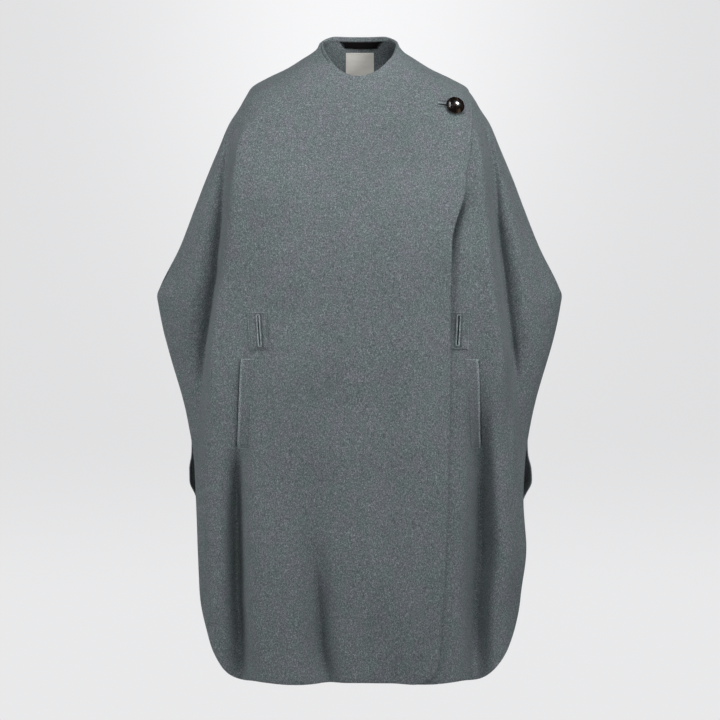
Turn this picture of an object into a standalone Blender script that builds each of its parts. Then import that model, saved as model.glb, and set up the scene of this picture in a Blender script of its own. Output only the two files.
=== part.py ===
"""Wool cape coat, filled out as it hangs on a wearer, with nobody in it.

The cloth is a wall of constant thickness.  One form function gives the outer
face of the whole cape from a short table of sections; every panel, welt and
band is a stretch of that form, moved out or in by its layer.

Frame: metres, +Z up, the front faces -Y, +X is the wearer's left.
Origin: midway between the shoulders at the level of the base of the neck.
All tables below are in millimetres.
"""
import math

import bmesh
import bpy
from mathutils import Matrix, Vector
from mathutils.bvhtree import BVHTree

# ------------------------------------------------------------------ sizes, mm
CLOTH_T = 2.4        # wool coating, one layer
SEAM_GAP = 0.3       # between neighbouring pieces
LAYER_GAP = 2.0      # between underlap and overlap
EDGE_STAND = 8.0     # how far the free edge stands away at the waist
HEM_CORNER = 44.0    # radius of the overlap's lower corner
BAND_H, BAND_T = 8.0, 1.5          # rolled strip inside the neck
WELT_T, WELT_MOUTH = 2.8, 2.4      # pocket welt: thickness, opening of its mouth
FACING_T = 2.0                    # stitched facing round a belt slit
SLOT_W = 1.6                       # belt slit, pocket slash and buttonhole
BUTTON_R, BUTTON_LIFT = 16.1, 3.6
BUTTON_XZ = (166.0, -60.0)
BUTTONHOLE_LEN = 30.0
EYE_R, SHANK_R = 3.4, 2.3
SLIT_TOP = -640.0    # side slits begin at this level
LABEL_W, LABEL_H, LABEL_T = 50.0, 46.0, 0.6
LOOP_X, LOOP_H, LOOP_T, LOOP_BOW = (-36.0, 41.5), 11.0, 1.0, 2.4
LOOP_SLANT = 8.5     # the loop's lower edge is this much shorter at either end

# Sections of the form, one row for each level.  z_side is the height of the
# side line, which also names the level; z_front and z_back are the heights of
# the same level at the centre front and centre back, so the levels tilt at the
# neckline and round up at the corners of the hem.
#   half_w   half width to the side line
#   ridge    the long vertical fold edge at the side of the body
#   valley   where the cloth over the arm leaves the body again
#   v_slope  slope of the section at the valley
#   corner   0 = level tilts like a neckline, 1 = it rounds up like a hem corner
SECTION_NAMES = ("z_side", "z_front", "z_back", "half_w", "ridge_x", "valley_x",
                 "y_front", "ridge_y", "valley_y", "v_slope", "y_side", "y_back",
                 "corner")
SECTIONS = (
    (  58,    -9,   73,   66,  41,  58,  -74,  -60, -38, 2.6, -10,   58, 0),  # neckline
    (  47,   -19,   61,   71,  46,  62,  -77,  -63, -40, 2.4,  -9,   62, 0),  # neck base
    (  37,   -28,   51, 80.5,  54,  71,  -80,  -66, -44, 2.2,  -8,   66, 0),  # flare
    (  26,   -38,   41,   95,  65,  85,  -84,  -70, -49, 1.9,  -7,   71, 0),
    (   9,   -52,   24,  121,  87, 111,  -90,  -77, -54, 1.6,  -5,   79, 0),  # shoulder
    (  -9,   -68,    5,  159, 113, 143,  -95,  -83, -58, 1.5,  -3,   87, 0),
    ( -26,   -85,  -13,  188, 136, 170, -100,  -88, -62, 1.5,  -1,   94, 0),  # shoulder, outer
    ( -44,  -103,  -33,  202, 155, 187, -105,  -93, -63, 1.4,   0,  101, 0),  # shoulder tip
    ( -60,  -119,  -51,  211, 167, 197, -109,  -96, -63, 1.2,   0,  105, 0),  # below the tip
    ( -86,  -143,  -80,  228, 192, 216, -116, -101, -60, 0.5,   2,  110, 0),  # top of the arm fold
    (-128,  -178, -123,  246, 209, 234, -126, -107, -56, 0.0,   3,  117, 0),
    (-180,  -219, -176,  268, 218, 239, -135, -111, -53, -0.4,   4,  122, 0),  # chest
    (-240,  -264, -236,  291, 224, 242, -141, -112, -51, -0.7,   4,  126, 0),
    (-299,  -306, -296,  314, 231, 247, -145, -112, -50, -0.8,   4,  128, 0),
    (-372,  -375, -371,  350, 240, 256, -148, -110, -50, -0.8,   4,  130, 0),
    (-386,  -388, -385,  355, 241, 257, -148, -110, -50, -0.8,   4,  130, 0),  # elbow, the widest
    (-400,  -402, -399,  353, 243, 259, -148, -110, -50, -0.8,   4,  130, 0),
    (-446,  -447, -446,  344, 249, 265, -149, -108, -50, -0.5,   4,  131, 0),
    (-497,  -497, -497,  330, 256, 271, -150, -104, -48, 0.1,   3,  132, 0),
    (-569,  -568, -570,  309, 259, 278, -150,  -97, -43, 1.2,   2,  133, 0),
    (-640,  -637, -643,  294, 263, 281, -151,  -86, -32, 2.2,   0,  134, 0),  # slit begins
    (-690,  -686, -695,  287, 260, 280, -151,  -88, -54, 2.0, -26,  134, 0.4),
    (-742,  -737, -748,  284, 258, 276, -152,  -91, -64, 1.9, -40,  135, 1),
    (-811,  -838, -842,  281, 254, 272, -154,  -94, -70, 1.9, -48,  137, 1),
    (-897, -1046, -1050, 277, 252, 269, -156,  -98, -74, 1.9, -52,  140, 1),  # hem
)

# Side edge of the back below the slit's top: it flares out, then tucks in.
BACK_EDGE_NAMES = ("z_side", "half_w", "y_side")
BACK_EDGE = ((-640, 294, 0), (-665, 295, 12), (-690, 299, 21), (-712, 299, 25),
             (-735, 290, 31), (-770, 279, 38), (-811, 274, 44), (-897, 268, 52))

# Free edge of the overlap, as a place q on the section at each level:
# 0 centre front, 1 ridge, 2 valley, 3 side line.  The underlap's is its mirror.
FREE_EDGE_NAMES = ("z_side", "q")
FREE_EDGE = ((58, 2.82), (-22, 2.82), (-35, 2.50), (-55, 2.00), (-72, 1.50), (-88, 1.00),
             (-108, 0.942), (-130, 0.895), (-154, 0.849), (-185, 0.82), (-225, 0.757), (-262, 0.701),
             (-299, 0.67), (-381, 0.638), (-446, 0.618), (-497, 0.602), (-595, 0.585), (-640, 0.574),
             (-724, 0.576), (-811, 0.572), (-897, 0.535))

# The largest folds: a soft trough (depth < 0) or ridge (> 0) along a path.
# side F front, B back; three (x, z, depth) stations; w half width.
FOLD_NAMES = ("side", "x1", "z1", "d1", "x2", "z2", "d2", "x3", "z3", "d3", "w")
FOLDS = (
    ("F", 44, -420,   0, 60, -740, -7, 62, -1046, -11, 22),    # shallow, right of middle
    ("B", -96, -520,  0, -84, -800, -8, -78, -1050, -12, 28),   # back, right half
    ("B", 70, -560,   0, 88, -820, -8, 94, -1050, -10, 26),     # back, left half
    ("B", 8, -600,    0, 4, -840, 5, 2, -1050, 7, 30),          # back, middle, a low ridge
)

# Deep troughs, one row for each station down the trough.
TROUGH_NAMES = ("z", "x", "depth", "width")
TROUGH_RIGHT = (     # at the side of the body, wearer's right
    (-290, 184, 0, 22), (-380, 190, -3, 20), (-480, 197, -5, 19), (-570, 202, -8, 18),
    (-640, 206, -15, 17), (-705, 210, -39, 16.5), (-775, 211, -54, 16.5), (-845, 210, -56, 16.5),
    (-915, 209, -52, 17.5), (-985, 206, -44, 19), (-1046, 201, -31, 22),
)
TROUGH_LEFT = (      # wearer's left, it begins higher
    (-330, 196, 0, 22), (-499, 204, -8, 18), (-570, 204, -17, 17), (-640, 206, -36, 17),
    (-705, 208, -54, 17), (-775, 206, -64, 17), (-845, 203, -65, 17), (-915, 200, -59, 17.5),
    (-985, 200, -49, 19), (-1046, 198, -33, 22),
)
CENTRE_TROUGH = (    # beside the centre front, on the wearer's right
    (-520, -100, 0, 28), (-650, -96, -6, 28), (-780, -88, -12, 28), (-845, -77, -21, 27),
    (-915, -69, -35, 23), (-985, -65, -40, 22), (-1046, -52, -27, 23),
)
BACK_TROUGH = (      # the back's side troughs, shallower
    (-480, 196, 0, 24), (-640, 200, -6, 24), (-760, 206, -16, 24), (-900, 204, -22, 25),
    (-1050, 198, -18, 26),
)
TROUGHS = (("F", -1, 1.0, TROUGH_RIGHT), ("F", 1, 1.0, TROUGH_LEFT), ("F", 1, 1.0, CENTRE_TROUGH),
           ("B", -1, 1.0, BACK_TROUGH), ("B", 1, 0.85, BACK_TROUGH))

# Where one side swells out (or in) against the other, in mm at the side line.
SWELL_NAMES = ("side", "x_sign", "z", "out", "height")
SWELLS = (
    ("F", 1, -832, 9.0, 62),     # lower front edge, wearer's left
    ("F", -1, -962, -3.6, 44),   # above the hem corner, wearer's right
    ("F", -1, -1042, 4.5, 20),   # hem corner, wearer's right
    ("F", -1, -352, -2.8, 20),   # above the elbow, wearer's right
    ("B", 1, -712, 4.6, 38),     # back beside the slit, wearer's left
)
HEM_DIP = 4.2        # how far the hem sinks between the centre and its corners

# Levels (z_side) and places across that the facets follow.
LEVELS = (58, 47, 37, 26, 10, -8, -22, -35, -55, -72, -88, -108, -130, -154, -185, -225, -262,
          -299, -340, -386, -413, -446, -497, -560, -610, -640, -665, -690, -724, -770, -811,
          -845, -874, -897)
Q_FRONT = (0, .28, .57, .71, .82, .92, 1, 1.5, 2, 2.45, 2.82, 3)
Q_BACK = (0, .25, .5, .75, 1, 1.5, 2, 2.5, 3)


# ------------------------------------------------------------- interpolation
def pchip(xs, ys, x):
    """Smooth curve through a falling table, with no overshoot."""
    n = len(xs)
    if x >= xs[0]:
        return ys[0]
    if x <= xs[-1]:
        return ys[-1]
    k = 0
    while x < xs[k + 1]:
        k += 1
    h = [xs[i + 1] - xs[i] for i in range(n - 1)]
    d = [(ys[i + 1] - ys[i]) / h[i] for i in range(n - 1)]

    def slope(i):
        if i == 0:
            return d[0]
        if i == n - 1:
            return d[-1]
        if d[i - 1] * d[i] <= 0:
            return 0.0
        a, b = 2 * h[i] + h[i - 1], h[i] + 2 * h[i - 1]
        return (a + b) / (a / d[i - 1] + b / d[i])

    t = (x - xs[k]) / h[k]
    m0, m1 = slope(k) * h[k], slope(k + 1) * h[k]
    return ((2 * t**3 - 3 * t**2 + 1) * ys[k] + (t**3 - 2 * t**2 + t) * m0
            + (-2 * t**3 + 3 * t**2) * ys[k + 1] + (t**3 - t**2) * m1)


def column(table, names, name):
    return [row[names.index(name)] for row in table]


def hermite(p0, p1, t0, t1, u):
    a, b = 2 * u**3 - 3 * u**2 + 1, u**3 - 2 * u**2 + u
    c, d = -2 * u**3 + 3 * u**2, u**3 - u**2
    return tuple(a * p0[i] + b * t0[i] + c * p1[i] + d * t1[i] for i in range(2))


def smooth(a, b, x):
    t = min(1.0, max(0.0, (x - a) / (b - a)))
    return t * t * (3 - 2 * t)


# -------------------------------------------------------------------- form
_cache = {}


def section(h):
    """Every named size of the section at level h."""
    if h not in _cache:
        zs = column(SECTIONS, SECTION_NAMES, "z_side")
        s = {n: pchip(zs, column(SECTIONS, SECTION_NAMES, n), h) for n in SECTION_NAMES}
        be = column(BACK_EDGE, BACK_EDGE_NAMES, "z_side")
        s["back_w"], s["back_y"] = s["half_w"], s["y_side"]
        if h < be[0]:
            s["back_w"] = pchip(be, column(BACK_EDGE, BACK_EDGE_NAMES, "half_w"), h)
            s["back_y"] = pchip(be, column(BACK_EDGE, BACK_EDGE_NAMES, "y_side"), h)
        _cache[h] = s
    return _cache[h]


def tilt(a, corner, power):
    u = max(0.0, (a - 0.68) / 0.32)
    arc = 1 - math.sqrt(max(0.0, 1 - min(1.0, u) ** 2))
    return (1 - corner) * a**power + corner * arc


def half_curve(q, w, rx, vx, y0, ry, vy, vs, ys):
    """Half a section: centre, ridge, valley, side line, with no kink."""
    if q <= 1:
        return rx * q, y0 + (ry - y0) * q**2.4
    slope = 2.4 * (ry - y0) / rx
    if q <= 2:
        k = 1.1 * (vx - rx)
        return hermite((rx, ry), (vx, vy), (k, k * slope), (k * 0.8, k * 0.8 * vs), q - 1)
    k = 0.95 * (w - vx) + 4
    turn = 0.55 * abs(ys - vy) + 10
    run = 1.0 / math.sqrt(1 + (0.6 * vs) ** 2)
    return hermite((vx, vy), (w, ys), (k * run, k * run * vs), (0.0, turn), q - 2)


def trough_depth(side, x, z):
    total = 0.0
    for name, sign, share, stations in TROUGHS:
        zz = column(stations, TROUGH_NAMES, "z")
        if name != side or z >= zz[0]:
            continue
        xc, d, w = (pchip(zz, column(stations, TROUGH_NAMES, n), z) for n in ("x", "depth", "width"))
        total += share * d * math.exp(-((x - sign * xc) / w) ** 2)
    return total


def fold_depth(side, x, z):
    total = 0.0
    for row in FOLDS:
        f = dict(zip(FOLD_NAMES, row))
        if f["side"] != side or z > f["z1"]:
            continue
        zz = [f["z1"], f["z2"], f["z3"]]
        xc = pchip(zz, [f["x1"], f["x2"], f["x3"]], z)
        d = pchip(zz, [f["d1"], f["d2"], f["d3"]], z)
        total += d * math.exp(-((x - xc) / f["w"]) ** 2)
    return total + trough_depth(side, x, z)


def swell(side, sign, x, z):
    total = 0.0
    for name, x_sign, at, out, height in SWELLS:
        if name == side and x_sign == sign:
            total += out * math.exp(-((z - at) / height) ** 2)
    return total * smooth(150, 260, x)


def form(side, h, q):
    """Point of the outer face: level h, place q from -3 (right) to 3 (left)."""
    s = section(h)
    neck = smooth(20, 55, h)
    a, sign = abs(q), (1 if q >= 0 else -1)
    if side == "F":
        x, y = half_curve(a, s["half_w"], s["ridge_x"], s["valley_x"], s["y_front"],
                          s["ridge_y"], s["valley_y"], s["v_slope"], s["y_side"])
        a = min(1.0, x / s["half_w"])
        e = tilt(a, s["corner"], 2.6)
        e += (0.45 * a**2.2 + 0.55 * (1 - math.sqrt(max(0.0, 1 - a * a))) - e) * neck
        z = s["z_front"] + (s["z_side"] - s["z_front"]) * e
        dip = smooth(0, 0.4, a) * (1 - smooth(0.44, 0.68, a)) + 0.72 * math.exp(-((a - 0.735) / 0.075) ** 2)
        z -= HEM_DIP * s["corner"] * dip
        y -= fold_depth("F", sign * x, z)
    else:
        g = s["back_w"] / s["half_w"]
        flat = 0.86
        x, y = half_curve(a, s["back_w"], s["ridge_x"] * g, s["valley_x"] * g, -s["y_back"],
                          -s["y_back"] + flat * (s["ridge_y"] - s["y_front"]),
                          s["valley_y"] * 0.92, s["v_slope"], -s["back_y"])
        e = tilt(min(1.0, x / s["back_w"]), s["corner"], 5.0 + 3.0 * neck)
        z = s["z_back"] + (s["z_side"] - s["z_back"]) * e
        y = -y + fold_depth("B", sign * x, z)
    return Vector((sign * (x + swell(side, sign, x, z)), y, z))


def form_normal(side, h, q):
    dq, dh = 0.01, 0.5
    qa, qb = max(-3, q - dq), min(3, q + dq)
    ha, hb = min(LEVELS[0], h + dh), max(LEVELS[-1], h - dh)
    across = form(side, h, qb) - form(side, h, qa)
    down = form(side, hb, q) - form(side, ha, q)
    n = down.cross(across) if side == "F" else across.cross(down)
    return n.normalized()


def seam_normal(h, q):
    """Both panels end square to one direction where they are sewn."""
    return (form_normal("F", h, q) + form_normal("B", h, q)).normalized()


def mirrored(qs):
    return [-q for q in reversed(qs)] + list(qs[1:])


class Grid:
    """The facets' corners on one side of the form, with their normals."""

    def __init__(self, side, qs):
        self.side, self.q = side, mirrored(qs)
        self.p = [[form(side, h, q) for q in self.q] for h in LEVELS]
        self.n = [[seam_normal(h, q) if abs(q) == 3 and h >= SLIT_TOP else form_normal(side, h, q)
                   for q in self.q] for h in LEVELS]

    def index(self, q):
        """Column index, with a fraction, of place q."""
        k = 0
        while k < len(self.q) - 2 and q > self.q[k + 1]:
            k += 1
        return k + (q - self.q[k]) / (self.q[k + 1] - self.q[k])

    def at(self, r, c):
        """Point and normal at a row and column index, both with fractions."""
        i = min(int(r), len(LEVELS) - 2)
        j = min(max(int(c), 0), len(self.q) - 2)
        a, b = r - i, c - j
        out = []
        for g in (self.p, self.n):
            top = g[i][j] * (1 - b) + g[i][j + 1] * b
            low = g[i + 1][j] * (1 - b) + g[i + 1][j + 1] * b
            out.append(top * (1 - a) + low * a)
        return out

    def step(self, r, c, mm):
        """Column index moved by a length across."""
        j = min(max(int(c), 0), len(self.q) - 2)
        i = min(int(round(r)), len(LEVELS) - 1)
        return c + mm / (self.p[i][j + 1] - self.p[i][j]).length


def row_index(h):
    """Row index, with a fraction, of level h."""
    k = 0
    while k < len(LEVELS) - 2 and h < LEVELS[k + 1]:
        k += 1
    return k + (LEVELS[k] - h) / (LEVELS[k] - LEVELS[k + 1])


# ----------------------------------------------------------------- building
def clear_scene():
    for o in list(bpy.data.objects):
        bpy.data.objects.remove(o, do_unlink=True)


clear_scene()
parts = bpy.data.collections.new("cape_coat")
cutters = bpy.data.collections.new("cutters")
for c in (parts, cutters):
    bpy.context.scene.collection.children.link(c)


def material(name, colour, roughness, metallic=0.0):
    m = bpy.data.materials.new(name)
    m.use_nodes = True
    b = m.node_tree.nodes["Principled BSDF"]
    b.inputs["Base Color"].default_value = (*colour, 1)
    b.inputs["Roughness"].default_value = roughness
    b.inputs["Metallic"].default_value = metallic
    return m


def wall(name, rows, mat, collection=parts):
    """Closed wall from rows of (inner, outer) points.  Repeated neighbours,
    where a row has been clipped, are welded."""
    bm = bmesh.new()
    nr, nc = len(rows), len(rows[0])
    v = [[[bm.verts.new(p * 0.001) for p in pair] for pair in row] for row in rows]

    def face(*vs):
        bm.faces.new(vs)

    for i in range(nr - 1):
        for j in range(nc - 1):
            a, b, c, d = v[i][j], v[i][j + 1], v[i + 1][j + 1], v[i + 1][j]
            face(a[1], d[1], c[1], b[1])
            face(a[0], b[0], c[0], d[0])
    for j in range(nc - 1):
        face(v[0][j][0], v[0][j][1], v[0][j + 1][1], v[0][j + 1][0])
        face(v[-1][j][0], v[-1][j + 1][0], v[-1][j + 1][1], v[-1][j][1])
    for i in range(nr - 1):
        face(v[i][0][0], v[i + 1][0][0], v[i + 1][0][1], v[i][0][1])
        face(v[i][-1][0], v[i][-1][1], v[i + 1][-1][1], v[i + 1][-1][0])
    bmesh.ops.remove_doubles(bm, verts=bm.verts, dist=2e-6)
    bmesh.ops.dissolve_degenerate(bm, dist=1e-6, edges=bm.edges)
    bmesh.ops.triangulate(bm, faces=[f for f in bm.faces if len(f.verts) > 3])
    bmesh.ops.recalc_face_normals(bm, faces=bm.faces)
    me = bpy.data.meshes.new(name)
    bm.to_mesh(me)
    bm.free()
    me.materials.append(mat)
    me.shade_smooth()
    me.set_sharp_from_angle(angle=math.radians(40))
    ob = bpy.data.objects.new(name, me)
    collection.objects.link(ob)
    return ob


def panel(name, grid, r_top, r_end, c_lo, c_hi, offsets, mat):
    """A stretch of the grid: r_top(c), r_end(c) and c_lo(r), c_hi(r) bound it,
    offsets(r, c) gives its inner and outer distance from the form."""
    first = min(r_top(c) for c in range(len(grid.q)))
    rows = []
    last = len(LEVELS) - 1
    for i in range(int(first), last + 1):
        lo, hi = c_lo(i), c_hi(i)
        cols = [min(max(float(j), lo), hi) for j in range(len(grid.q))]
        row = []
        for c in cols:
            top, end = r_top(c), r_end(c)
            r = float(i)
            if i <= 2:
                r = top + (2 - top) * i / 2
            if i >= last - 8:
                r = i + (end - last) * ((i - last + 8) / 8) ** 1.4
            p, n = grid.at(r, c)
            lo_off, hi_off = offsets(r, c)
            row.append((p + n * lo_off, p + n * hi_off))
        rows.append(row)
    return wall(name, rows, mat)


front = Grid("F", Q_FRONT)
back = Grid("B", Q_BACK)
LAST = len(LEVELS) - 1
EDGE_H = column(FREE_EDGE, FREE_EDGE_NAMES, "z_side")
EDGE_Q = column(FREE_EDGE, FREE_EDGE_NAMES, "q")


def level(r):
    i = min(int(r), LAST - 1)
    return LEVELS[i] + (LEVELS[i + 1] - LEVELS[i]) * (r - i)


def free_edge_q(r):
    return pchip(EDGE_H, EDGE_Q, level(r))


def place(grid, c):
    j = min(max(int(c), 0), len(grid.q) - 2)
    return grid.q[j] + (grid.q[j + 1] - grid.q[j]) * (c - j)


def stand_away(r, q):
    """The overlap's free edge stands off the underlap round the waist."""
    h, e = level(r), free_edge_q(r)
    along = smooth(-120, -230, h) * (1 - 0.75 * smooth(-300, -420, h))
    return EDGE_STAND * along * smooth(e - 0.42, e, q)


def overlap_offsets(r, c):
    q = place(front, c)
    e = free_edge_q(r)
    close = smooth(e - 1.0, e, q) * smooth(-60, 0, level(r))
    out = LAYER_GAP + CLOTH_T - 1.4 * close
    span = min(3 - e, 0.35 + 0.9 * smooth(0.9, 1.3, e))   # it comes down again past the underlap
    rise = 1.0 if q > -e else smooth(0, 1, (q + e + span) / span)
    out = out * rise + stand_away(r, q)
    return out - CLOTH_T, out


def overlap_end(c):
    """Last row, rounded up near the free edge for the lower corner."""
    e = front.index(free_edge_q(LAST))
    width = (front.p[LAST][int(e) + 1] - front.p[LAST][int(e)]).length
    d = max(0.0, min(HEM_CORNER, (e - c) * width))
    lift = HEM_CORNER - math.sqrt(HEM_CORNER**2 - (HEM_CORNER - d) ** 2)
    last_h = (front.p[LAST - 1][int(e)] - front.p[LAST][int(e)]).length
    return LAST - lift / last_h


WOOL = material("wool_melange", (0.165, 0.200, 0.210), 0.92)
WOOL_IN = material("wool_melange_inside", (0.150, 0.182, 0.192), 0.94)
HORN = material("dark_horn", (0.022, 0.014, 0.011), 0.16)
TAPE = material("black_tape", (0.010, 0.010, 0.012), 0.75)
SATIN = material("cream_label", (0.60, 0.58, 0.53), 0.55)

n_front, n_back = len(front.q) - 1, len(back.q) - 1


def edge_lo(grid):
    return lambda r: SEAM_GAP / 2 / (grid.p[int(r)][1] - grid.p[int(r)][0]).length


def edge_hi(grid):
    n = len(grid.q) - 1
    return lambda r: n - SEAM_GAP / 2 / (grid.p[int(r)][n] - grid.p[int(r)][n - 1]).length


def centre_hi(grid):
    m = (len(grid.q) - 1) // 2
    return lambda r: m - SEAM_GAP / 2 / (grid.p[int(r)][m] - grid.p[int(r)][m - 1]).length


def centre_lo(grid):
    m = (len(grid.q) - 1) // 2
    return lambda r: m + SEAM_GAP / 2 / (grid.p[int(r)][m + 1] - grid.p[int(r)][m]).length


def outer_wall(r, c):
    return -CLOTH_T, 0.0


def full(c):
    return float(LAST)


# the wearer's right front, on top; its neck edge sits a little lower on the right
front_right = panel(
    "front_right", front,
    lambda c: (0.50 * (1 - smooth(-1.6, 0.6, place(front, c))) * smooth(-3, -2.3, place(front, c))
               + 0.55 * smooth(2.0, 2.82, place(front, c))), overlap_end,
    edge_lo(front), lambda r: front.index(free_edge_q(r)), overlap_offsets, WOOL)
# the wearer's left front, underneath
front_left = panel(
    "front_left", front,
    lambda c: 0.25 * smooth(-0.6, 1.6, place(front, c)), full,
    lambda r: front.index(-free_edge_q(r)), edge_hi(front), outer_wall, WOOL)
back_right = panel("back_right", back, lambda c: 0.0, full,
                   edge_lo(back), centre_hi(back), outer_wall, WOOL)
back_left = panel("back_left", back, lambda c: 0.0, full,
                  centre_lo(back), edge_hi(back), outer_wall, WOOL)


# ------------------------------------------------------------ pieces on cloth
class Face:
    """Outer (or inner) face of a finished panel, found along Y."""

    def __init__(self, ob, from_front=True):
        bm = bmesh.new()
        bm.from_mesh(ob.data)
        bmesh.ops.triangulate(bm, faces=bm.faces)
        self.tree = BVHTree.FromBMesh(bm)
        bm.free()
        self.dir = Vector((0, 1, 0)) if from_front else Vector((0, -1, 0))
        self.start = -1.0 if from_front else 0.0

    def hit(self, x, z):
        """Point in millimetres and unit normal towards the looker."""
        p, n, _, _ = self.tree.ray_cast(Vector((x * 0.001, self.start, z * 0.001)),
                                        self.dir if self.start < 0 else Vector((0, 1, 0)))
        if p is None:
            raise ValueError("no cloth at %.0f, %.0f" % (x, z))
        if n.y > 0:
            n = -n
        return p * 1000.0, n


def soften(normals):
    """Average each normal with its neighbours, twice."""
    for _ in range(2):
        nr, nc = len(normals), len(normals[0])
        normals = [[sum((normals[a][b] for a in range(max(0, i - 1), min(nr, i + 2))
                         for b in range(max(0, j - 1), min(nc, j + 2))), Vector()).normalized()
                    for j in range(nc)] for i in range(nr)]
    return normals


def patch(name, face, point, nu, nv, offsets, mat, collection=parts):
    """Wall over cloth: point(u, v) gives (x, z), offsets(u, v) the distances."""
    us = [k / nu for k in range(nu + 1)]
    vs = [k / nv for k in range(nv + 1)]
    hits = [[face.hit(*point(u, v)) for u in us] for v in vs]
    normals = soften([[h[1] for h in row] for row in hits])
    rows = []
    for i, v in enumerate(vs):
        row = []
        for j, u in enumerate(us):
            lo, hi = offsets(u, v)
            p, n = hits[i][j][0], normals[i][j]
            row.append((p + n * lo, p + n * hi))
        rows.append(row)
    return wall(name, rows, mat, collection)


def hide_cutter(ob):
    ob.hide_render = True
    ob.display_type = "WIRE"


def cut(target, cutter):
    hide_cutter(cutter)
    m = target.modifiers.new("cut_" + cutter.name, "BOOLEAN")
    m.operation, m.object, m.solver = "DIFFERENCE", cutter, "EXACT"


def quad(corners):
    """Bilinear place between four (x, z) corners: top left, top right, bottom
    left, bottom right."""
    (ax, az), (bx, bz), (cx, cz), (dx, dz) = corners

    def point(u, v):
        return ((ax * (1 - u) + bx * u) * (1 - v) + (cx * (1 - u) + dx * u) * v,
                (az * (1 - u) + bz * u) * (1 - v) + (cz * (1 - u) + dz * u) * v)
    return point


def slot(name, face, top, bottom, half, collection=cutters):
    """Narrow through cutter along a line on the cloth."""
    (ax, az), (bx, bz) = top, bottom
    return patch(name, face, quad(((ax - half, az), (ax + half, az), (bx - half, bz), (bx + half, bz))),
                 1, 4, lambda u, v: (-2 * CLOTH_T, 3 * CLOTH_T), WOOL, collection)


def pocket(tag, host, s):
    """Slanted single welt, its mouth on the outer side; s is -1 or +1 in X."""
    face = Face(host)
    corners = [(s * 179, -497), (s * 202, -497), (s * 189, -651), (s * 208, -651)]
    welt = patch("pocket_welt_" + tag, face, quad(corners), 3, 12,
                 lambda u, v: (0.5 + WELT_MOUTH * u**2 * smooth(0, 0.1, v) * smooth(0, 0.1, 1 - v),
                               0.5 + WELT_T + WELT_MOUTH * u**2 * smooth(0, 0.1, v) * smooth(0, 0.1, 1 - v)),
                 WOOL)
    slash = slot("slash_" + tag, face, (s * 197, -504), (s * 203.5, -644), SLOT_W / 2)
    cut(host, slash)
    return welt


# tag: (slit's upper and lower end), (facing's four corners), in X and Z
BELT_SLITS = {
    "right": (((-172.4, -423.5), (-168.8, -474.5)),
              ((-190.6, -417.0), (-157.6, -417.0), (-187.0, -481.3), (-154.0, -481.3))),
    "left": (((169.9, -423.5), (167.2, -473.5)),
             ((154.6, -416.5), (187.4, -416.5), (154.0, -480.8), (185.2, -480.8))),
}


def belt_slit(tag, host):
    """Upright slit in its stitched facing."""
    face = Face(host)
    (top, low), corners = BELT_SLITS[tag]
    facing = patch("belt_slit_" + tag, face, quad(corners), 4, 5,
                   lambda u, v: (0.4, 0.4 + FACING_T), WOOL_IN)
    opening = slot("slit_" + tag, face, top, low, SLOT_W / 2)
    cut(facing, opening)
    cut(host, opening)
    return facing


belt_slit("right", front_right)
pocket("right", front_right, -1)
belt_slit("left", front_left)
pocket("left", front_left, 1)

# --------------------------------------------------------- button, buttonhole
over, under = Face(front_right), Face(front_left)
bx, bz = BUTTON_XZ
ex, ez = bx - 2.4, bz - 3.4      # the buttonhole's end, where the shank comes through
rim = patch("buttonhole", over, quad(((bx - BUTTONHOLE_LEN - 3.4, bz + 4.0), (ex + 6.0, ez + 4.6),
                                      (bx - BUTTONHOLE_LEN - 3.4, bz - 2.6), (ex + 6.0, ez - 4.6))),
            7, 3, lambda u, v: (0.8, 1.5), WOOL_IN)
hole = patch("hole_slot", over, quad(((bx - BUTTONHOLE_LEN, bz + 1.5), (ex, ez + 0.8),
                                      (bx - BUTTONHOLE_LEN, bz - 0.1), (ex, ez - 0.8))),
             4, 1, lambda u, v: (-1.3 * CLOTH_T, 2 * CLOTH_T), WOOL, cutters)
p_over, n_over = over.hit(ex, ez)
axis = (n_over + Vector((0, -0.38, 0))).normalized()
turn = Vector((0, 0, 1)).rotation_difference(axis).to_matrix().to_4x4()
eye_mesh = bpy.data.meshes.new("hole_eye")
ebm = bmesh.new()
bmesh.ops.create_cone(ebm, cap_ends=True, segments=20, radius1=EYE_R * 0.001,
                      radius2=EYE_R * 0.001, depth=7.4 * 0.001)
ebm.to_mesh(eye_mesh)
ebm.free()
eye = bpy.data.objects.new("hole_eye", eye_mesh)
eye.matrix_world = Matrix.Translation(p_over * 0.001) @ turn
cutters.objects.link(eye)
for target in (rim, front_right):
    cut(target, hole)
    cut(target, eye)
hide_cutter(eye)

# Turned profile (radius, height), height 0 at the disc's underside
SHANK_L = BUTTON_LIFT + CLOTH_T + LAYER_GAP - 0.5
PROFILE = ((0, 5.6), (5.0, 5.35), (9.4, 4.7), (12.6, 3.9), (15.0, 2.9),
           (BUTTON_R, 1.7), (15.4, 0.5), (12.4, 0.0), (SHANK_R, 0.0), (SHANK_R, -SHANK_L),
           (0, -SHANK_L))
pm = bpy.data.meshes.new("button")
pm.from_pydata([(r * 0.001, 0, z * 0.001) for r, z in PROFILE], [(k, k + 1) for k in range(len(PROFILE) - 1)], [])
pm.materials.append(HORN)
button = bpy.data.objects.new("button", pm)
parts.objects.link(button)
button.matrix_world = Matrix.Translation((p_over + axis * BUTTON_LIFT) * 0.001) @ turn
screw = button.modifiers.new("turn", "SCREW")
screw.steps = screw.render_steps = 28
screw.use_merge_vertices = True
screw.merge_threshold = 0.00001
screw.use_smooth_shade = True


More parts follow.
